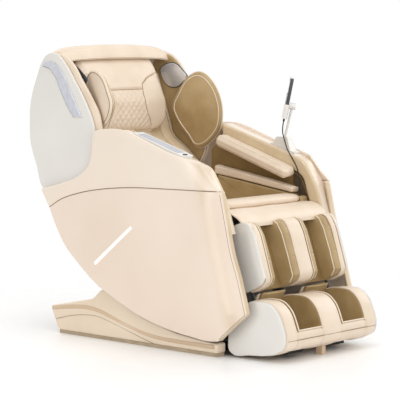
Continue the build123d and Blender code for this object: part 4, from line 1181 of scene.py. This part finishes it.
# %% [markdown]
# ## Rear shell
# The moulded back has a middle panel between two upright joints and a row of cooling slots low down, where
# the motors are. Each is a thin dark bead let into the surface, which reads as a gap once the light is on it;
# on the slots the bead is painted shade for the opening.

# %% Joints and slots of the rear shell
REAR_LINE = [(672, 1100), (684, 1072), (705, 1001), (711, 926), (706, 825), (670, 729), (626, 626)]
JOINT_X, JOINT_Z = 214, 1010
SLOT_COUNT, SLOT_FOOT, SLOT_PITCH, SLOT_HALF = 7, 722, 14, 85
rear_curve = smooth_line(REAR_LINE, 240)[::-1]


def rear_depth(z):
    """Y of the rear shell at a height, read off its side line."""
    return np.interp(z, rear_curve[:, 1], rear_curve[:, 0])


joint_z = np.linspace(640, 1094, 90)
for label, side in SIDES:
    joint = np.column_stack([np.full(90, side * JOINT_X), rear_depth(joint_z) - 0.5, joint_z])
    welt(f"rear_joint_{label}", joint, 1.5, SEAM, "backrest")
welt("rear_joint_cross", level_line(-JOINT_X, JOINT_X, rear_depth(JOINT_Z) - 0.5, JOINT_Z, 60), 1.5, SEAM,
     "backrest")
# the slots' dark beads are painted shade for their openings
for row in range(SLOT_COUNT):
    height = SLOT_FOOT + SLOT_PITCH * row
    welt(f"rear_slot_{row}", level_line(-SLOT_HALF, SLOT_HALF, rear_depth(height) - 0.6, height, 30), 2.4,
         DARK_PLASTIC, "backrest")
made("rear shell")

# %% [markdown]
# ## Calf rest
# The calf rest is drawn in its own directions, down along it and out of its front, because it hangs at
# a slant. Two channels with tan pads lie between cream bolsters and a cream divider, and white covers
# close the sides. A channel is lined in three strips: a lobe on each wall and a low pillow between them,
# whose deeper tan is painted shade for the channel's floor.

# %% Calf rest
KNEE, CALF_SLANT = np.array([-365, 553]), radians(20)
CALF_DOWN = np.array([-sin(CALF_SLANT), -cos(CALF_SLANT)])
CALF_FRONT = np.array([-cos(CALF_SLANT), sin(CALF_SLANT)])
LOBE_DOWN = [34, 42, 60, 104, 200, 282, 302, 313]     # how high a channel's walls stand at each step down
LOBE_HIGH = [44, 92, 110, 121, 122, 118, 92, 44]
CHANNEL_BACK, CREASE_DOWN = 19.5, 205                 # the lining's back, and the crease across it


def calf_line(points):
    """(Y, Z) points from (down, front) points measured from the knee axis."""
    points = np.asarray(points, float)
    return KNEE + points[:, :1] * CALF_DOWN + points[:, 1:] * CALF_FRONT


def channel_strip(name, side, across, profile, material):
    """A strip of the channel's lining. At each step down, its front is profile(x, high), with high the
    height of the channel's walls there, and its back lies on the calf frame's ribs."""
    down = np.linspace(34, 313, 110)
    high = np.interp(down, LOBE_DOWN, LOBE_HIGH)
    crease = 1.8 * np.exp(-(((down[:, None] - CREASE_DOWN) / 4) ** 2))
    front = profile(across[None, :], high[:, None]) - crease
    ring_x = np.hstack([across, across[::-1]])
    ring_front = np.hstack([front, np.full_like(front, CHANNEL_BACK)])
    rings = np.empty(ring_front.shape + (3,))
    rings[..., 0] = side * ring_x[None, :]
    rings[..., 1:] = KNEE + down[:, None, None] * CALF_DOWN + ring_front[..., None] * CALF_FRONT
    dress(capped_tube(name, rings, material, "calf_rest"))


def lobe_profile(wall, reach):
    """The lobe on a wall: 33 + (high - 33) * sqrt(1 - (d / reach)^5), with d the distance from the wall."""
    def profile(x, high):
        d = np.clip(np.abs(x - wall) / reach, 0, 1)
        return 33 + (high - 33) * np.sqrt(1 - d**5)
    return profile


def floor_profile(x, high):
    """The middle: a low pillow between the lobes, 36 + 8 * cos(pi * (x - 137.5) / 130)."""
    return 36 + 8 * np.cos(pi * (x - 137.5) / 130) + 0 * high


cover_outline = rounded(calf_line([(26, -9), (25, 84), (44, 117), (100, 131), (204, 128), (284, 125),
                                   (304, 94), (315, 30), (315, -9)]), 260, 12)
bolster_outline = rounded(calf_line([(35, 20), (35, 90), (52, 115), (102, 126), (204, 123), (290, 119),
                                     (309, 92), (317, 20)]), 260, 26)
divider_outline = rounded(calf_line([(35, 20), (37, 96), (60, 115), (110, 123), (284, 119), (308, 94),
                                     (315, 20)]), 260, 26)
for label, side in SIDES:
    dress(plate(f"calf_cover_{label}", shrunk(cover_outline, 0.955), 263.5, 273.5, 5, WHITE, "calf_rest",
                crown=1.4, side=side))
    dress(plate(f"calf_bolster_{label}", bolster_outline, 262, 227, 13, CREAM, "calf_rest", side=side))
    for x, tag in ((227.5, "inner"), (261, "outer")):
        welt(f"calf_welt_{tag}_{label}", at_x(shrunk(bolster_outline, 0.985), side * x), 2.6, WELT,
             "calf_rest", closed=True)
divider = dress(plate("calf_divider_pad", divider_outline, -48, 48, 16, CREAM, "calf_rest"))
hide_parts("calf_divider")
for label, side in SIDES[::-1]:
    welt(f"calf_divider_welt_{label}", at_x(divider_outline, side * 46), 1.8, WELT, "calf_rest", closed=True)
stands_for("calf_cover_left", "calf_side_covers")
stands_for("calf_bolster_left", "calf_bolsters")

down_line = np.linspace(42, 304, 90)
wall_high = np.interp(down_line, LOBE_DOWN, LOBE_HIGH)
for label, side in SIDES:
    for tag, wall, reach in (("inner", 50.5, 37), ("outer", 225, -37)):
        profile = lobe_profile(wall, abs(reach))
        channel_strip(f"calf_lobe_{tag}_{label}", side, np.linspace(wall, wall + reach, 26), profile, TAN)
        edge_x = wall + reach * 0.8
        edge = (KNEE + down_line[:, None] * CALF_DOWN
                + (profile(np.array(edge_x), wall_high) + 1)[:, None] * CALF_FRONT)
        welt(f"calf_lobe_welt_{tag}_{label}", at_x(edge, side * edge_x), 2.6, WELT, "calf_rest")
    # the channel floor's deeper tan is painted shade in the recess between the lobes
    channel_strip(f"calf_channel_{label}", side, np.linspace(86, 189.5, 50), floor_profile, TAN_RECESS_SHADE)
stands_for("calf_channel_left", "calf_channel_pads")
made("calf rest")

# %% [markdown]
# ## Knee apron
# A soft apron covers the hinge at the knee. Its upper edge is sewn to the seat and its lower edge hangs on
# the calf rest. Here it is made once in its rest place, as a cover with slanting folds, and rides on
# neither body.

# %% Knee apron
APRON_TOP = [(-322, 590), (-352, 592), (-386, 588), (-416, 577), (-438, 562), (-452, 544), (-456, 526)]
APRON_UNDER = [(-322, 584), (-352, 586), (-383, 582), (-411, 572), (-432, 558), (-446, 542), (-450, 526)]


def apron_narrow(s):
    """It is drawn in by 16 mm at its sewn edge and by 15 mm at its hanging one."""
    return 16 * np.clip(1 - s / 0.25, 0, 1) + 15 * np.clip((s - 0.5) / 0.5, 0, 1)


def apron_folds(s, u):
    """Slanting ripples, 2.2 * sin(9u + 5s) * sin(pi s), and one crease across."""
    return 2.2 * np.sin(9 * u + 5 * s) * np.sin(pi * s) - 2 * np.exp(-(((s - 0.3) / 0.03) ** 2))


apron = bolster("knee_apron", *pair_lines(APRON_TOP, APRON_UNDER, 60), -284, 284, 2.4, CREAM, None,
                stations=60, across=60, narrow=apron_narrow, relief=apron_folds)
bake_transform(apron)
dress(apron)
made("knee apron")

# %% [markdown]
# ## Foot rest
# The foot rest is a rounded block with two wells for the feet. The cheeks, the middle and the tubs that
# line the wells are cream, and a tan lining lies in each tub: one padded strip that comes down the back of
# the heel, runs along under the sole and turns up as a low lip at the toes.

# %% Foot rest
FOOT_LINE = [(-398, 64), (-402, 24), (-419, 11), (-511, 14), (-672, 44), (-699, 61), (-710, 98), (-695, 158),
             (-668, 208), (-631, 237), (-573, 244), (-495, 230), (-464, 212)]
TUB_INNER = [(-500, 258), (-482, 214), (-458, 170), (-448, 140), (-449, 112), (-458, 90), (-480, 75),
             (-520, 76), (-600, 82), (-640, 87), (-662, 105), (-682, 121), (-698, 128)]
TUB_OUTER = [(-486, 256), (-464, 212), (-436, 155), (-412, 100), (-399, 64), (-402, 26), (-420, 12),
             (-470, 13), (-560, 22), (-640, 37), (-676, 46), (-700, 66), (-709, 112)]
WELL_SIDES = (("outer", 218.5, 214.5), ("inner", 65.5, 69.5))      # name, X of the wall's back and face
FOOT_SEAM_Z = 92
foot_outline = rounded(FOOT_LINE, 280, 14, curve=500)
foot_inset = shrunk(foot_outline, 0.975)
opening = foot_outline[(foot_outline[:, 1] > 127) & (foot_outline[:, 0] > -712)]
opening = opening[np.argsort(np.arctan2(opening[:, 1] - 110, opening[:, 0] + 580))]
lining_foot = smooth_line([(-508, 263)] + TUB_INNER[1:-2], 120)
lining_face = lining_foot - 9 * normals(lining_foot)
for label, side in SIDES:
    dress(plate(f"foot_cover_{label}", foot_inset, 292.5, 303, 6, WHITE, "foot_rest", crown=1.6, side=side))
    dress(plate(f"foot_cheek_{label}", foot_outline, 291.5, 218, 20, CREAM, "foot_rest", side=side,
                back_rim=14))
    dress(bolster(f"foot_tub_{label}", *pair_lines(TUB_INNER, TUB_OUTER, 120), *span(side, 60, 224), 8,
                  CREAM, "foot_rest", crown=-2, end_radius=6, stations=110, across=36))
    dress(bolster(f"foot_lining_{label}", lining_face, lining_foot, *span(side, 69, 215), 4, TAN, "foot_rest",
                  crown=5, end_radius=4, stations=110, across=36))
    for tag, x, face in WELL_SIDES:
        dress(plate(f"foot_well_{tag}_{label}", foot_inset, side * x, side * face, 1.5, TAN, "foot_rest"))
        welt(f"foot_welt_{tag}_{label}", at_x(opening, side * x), 3.0, WELT, "foot_rest")
    welt(f"foot_lip_welt_{label}", level_line(side * 66, side * 218, -702, 128.5, 30), 3.0, WELT, "foot_rest")
front_part = foot_outline[foot_outline[:, 0] < -600]
front_y = np.interp(FOOT_SEAM_Z, *front_part[np.argsort(front_part[:, 1])][:, ::-1].T)
welt("foot_front_seam", level_line(-286, 286, front_y + 0.6, FOOT_SEAM_Z, 80), 1.2, SEAM, "foot_rest")
bridge = dress(plate("foot_bridge", foot_outline, -66, 66, 16, CREAM, "foot_rest"))
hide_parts("foot_body")
stands_for("foot_cover_left", "foot_side_covers")
stands_for("foot_lining_left", "foot_heel_pads", "foot_sole_pads")
made("foot rest")

# %% [markdown]
# ## Handset
# The handset stands in its cradle on a thin post. Its face turns to the sitter, so it shows the key
# field and a small screen. All its parts are laid out in the handset's own directions: across, up and
# out of its back. Each is a stack of rounded rectangles, so a row of sizes is enough to describe them.

# %% Handset and cradle
FACING, HANDSET_LEAN = np.array([0.669, -0.743, 0]), radians(11)
HANDSET_UP = np.array([FACING[0] * sin(HANDSET_LEAN), FACING[1] * sin(HANDSET_LEAN), cos(HANDSET_LEAN)])
HANDSET_SIDE = np.array([0.743, 0.669, 0])
HANDSET_BACK = np.cross(HANDSET_SIDE, HANDSET_UP)
HANDSET_FOOT = np.array([322, -180, 938])
SQUARENESS = 0.35                         # power of the sine and cosine: 1 is an ellipse, 0 a rectangle


def handset_shape(name, low, high, radius, material, body="remote", waist=0.0):
    """A block with round edges between two corners (across, up, back), as stacked rounded rectangles. waist
    narrows it towards its lower end by that share."""
    low, high = np.array(low, float), np.array(high, float)
    turn = np.linspace(0, 2 * pi, 64, endpoint=False)
    square = np.stack([swing(np.cos(turn), SQUARENESS), swing(np.sin(turn), SQUARENESS)], axis=1)
    end = np.linspace(0, pi / 2, 6)
    run = np.r_[low[1] + radius * (1 - np.cos(end)), np.linspace(low[1] + radius, high[1] - radius, 24)[1:-1],
                high[1] - radius * (1 - np.cos(end[::-1]))]
    from_end = np.clip(np.minimum(run - low[1], high[1] - run), 0, radius)
    inset = radius - np.sqrt(radius**2 - (radius - from_end) ** 2)
    taper = 1 - waist * (1 - (run - low[1]) / (high[1] - low[1])) ** 2
    half = np.stack([(high[0] - low[0]) / 2 * taper - inset, (high[2] - low[2]) / 2 - inset], axis=1)
    middle = (low + high) / 2
    across = middle[0] + square[None, :, 0] * half[:, :1]
    back = middle[2] + square[None, :, 1] * half[:, 1:]
    rings = (HANDSET_FOOT + across[..., None] * HANDSET_SIDE + run[:, None, None] * HANDSET_UP
             + back[..., None] * HANDSET_BACK)
    return dress(capped_tube(name, rings, material, body))


handset = handset_shape("handset_body", (-42.8, 4.3, -7.8), (42.8, 176, 7.8), 3.5, DARK_PLASTIC)
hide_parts("handset")
handset_shape("handset_cap", (-42.8, 174.5, -7.8), (42.8, 182, 7.8), 3.5, SILVER)
handset_shape("handset_display", (-34, 112, -8.6), (34, 164, -6), 1, SCREEN)
handset_shape("handset_strain_relief", (-4.5, -13.8, -4.5), (4.5, 6, 4.5), 2, DARK_PLASTIC,
              waist=0.3)
for row, up in enumerate((98, 86, 74)):
    for column, across in enumerate((-24, 0, 24)):
        handset_shape(f"handset_key_{row}_{column}", (across - 8, up - 4, -9.4), (across + 8, up + 4, -7),
                      1.2, GREY_PLASTIC)
handset_shape("cradle_rail", (-47, 1, 8.5), (47, 61, 11.5), 1.4, SILVER, "carriage")
made("handset")

# %% [markdown]
# ## Floor
# A plain pale floor catches one soft shadow under the chair. Away from the chair it fades out into the
# white background: its shader is mixed with a transparent one by the distance from the middle.

# %% Floor
FLOOR_REACH, FADE_FROM, FADE_TO = 2, 0.9, 1.9         # metres
floor_mesh = bpy.data.meshes.new("floor")
floor_corners = [(x * FLOOR_REACH, y * FLOOR_REACH, -0.0005) for x, y in ((-1, -1), (1, -1), (1, 1), (-1, 1))]
floor_mesh.from_pydata(floor_corners, [], [(0, 1, 2, 3)])
floor = bpy.data.objects.new("floor", floor_mesh)
scene.collection.objects.link(floor)
floor_paint, floor_tree, floor_shader = new_material("floor", roughness=0.42)
floor_cloud = use_group(floor_tree, MOULDED, Scale=1.5)["Cloud"]
two_tone(floor_tree, floor_shader, floor_cloud, (250, 250, 250), (253, 253, 253))
away = floor_tree.nodes.new("ShaderNodeVectorMath")
away.operation = "LENGTH"
fade = floor_tree.nodes.new("ShaderNodeMapRange")
fade.inputs["From Min"].default_value = FADE_FROM
fade.inputs["From Max"].default_value = FADE_TO
clear = floor_tree.nodes.new("ShaderNodeBsdfTransparent")
blend = floor_tree.nodes.new("ShaderNodeMixShader")
for output, target in ((object_place(floor_tree), away.inputs[0]),
                       (away.outputs["Value"], fade.inputs["Value"]),
                       (fade.outputs["Result"], blend.inputs[0]),
                       (floor_shader.outputs[0], blend.inputs[1]), (clear.outputs[0], blend.inputs[2]),
                       (blend.outputs[0], floor_tree.nodes["Material Output"].inputs["Surface"])):
    floor_tree.links.new(output, target)
floor_mesh.materials.append(floor_paint)
made("floor")

# %% [markdown]
# ## Light and background
# Light comes from a big panel overhead and a softer one on each side and behind, as in a small product
# studio, and a tall strip gives the pearl panels their long reflection. The background is white for the
# camera and for mirror-like surfaces, but lights the scene less than that, so the shapes keep their shading.

# %% Light
LIGHTS = (                                # name, place, target, width, height (metres), power (watts)
    ("overhead", (-0.6, -0.8, 3.4), (0, 0, 0.5), 2.6, 2.6, 30),
    ("front_side", (-1.6, -3.4, 1.7), (0, 0, 0.6), 2.0, 2.0, 30),
    ("far_side", (3.0, -1.2, 2.0), (0, 0, 0.6), 2.0, 2.0, 24),
    ("rear", (0.4, 3.2, 2.2), (0, 0, 0.7), 2.2, 2.2, 24),
    ("side_strip", (-3.4, 0.9, 0.6), (-0.37, -0.4, 0.5), 0.5, 2.6, 18),
)
SEEN_STRENGTH, FILL_STRENGTH = 1.0, 0.69
for name, place, target, width, height, power in LIGHTS:
    data = bpy.data.lights.new(name, "AREA")
    data.shape = "RECTANGLE"
    data.size, data.size_y, data.energy = width, height, power
    light = bpy.data.objects.new(name, data)
    light.location = place
    light.rotation_mode = "QUATERNION"
    light.rotation_quaternion = (Vector(target) - Vector(place)).to_track_quat("-Z", "Y")
    scene.collection.objects.link(light)

world = bpy.data.worlds.new("studio")
scene.world = world
world.use_nodes = True
studio = world.node_tree
studio.nodes.clear()
rays = studio.nodes.new("ShaderNodeLightPath").outputs
straight = math_node(studio, "MAXIMUM", rays["Is Camera Ray"], rays["Is Transmission Ray"])
mix = studio.nodes.new("ShaderNodeMixShader")
studio.links.new(math_node(studio, "MAXIMUM", straight, rays["Is Glossy Ray"]), mix.inputs[0])
for socket, tint, strength in ((1, (1, 0.99, 0.975, 1), FILL_STRENGTH), (2, (1, 1, 1, 1), SEEN_STRENGTH)):
    background = studio.nodes.new("ShaderNodeBackground")
    background.inputs["Color"].default_value = tint
    background.inputs["Strength"].default_value = strength
    studio.links.new(background.outputs[0], mix.inputs[socket])
studio.links.new(mix.outputs[0], studio.nodes.new("ShaderNodeOutputWorld").inputs["Surface"])
scene.view_settings.view_transform = "Standard"
print("lights:", ", ".join(row[0] for row in LIGHTS))
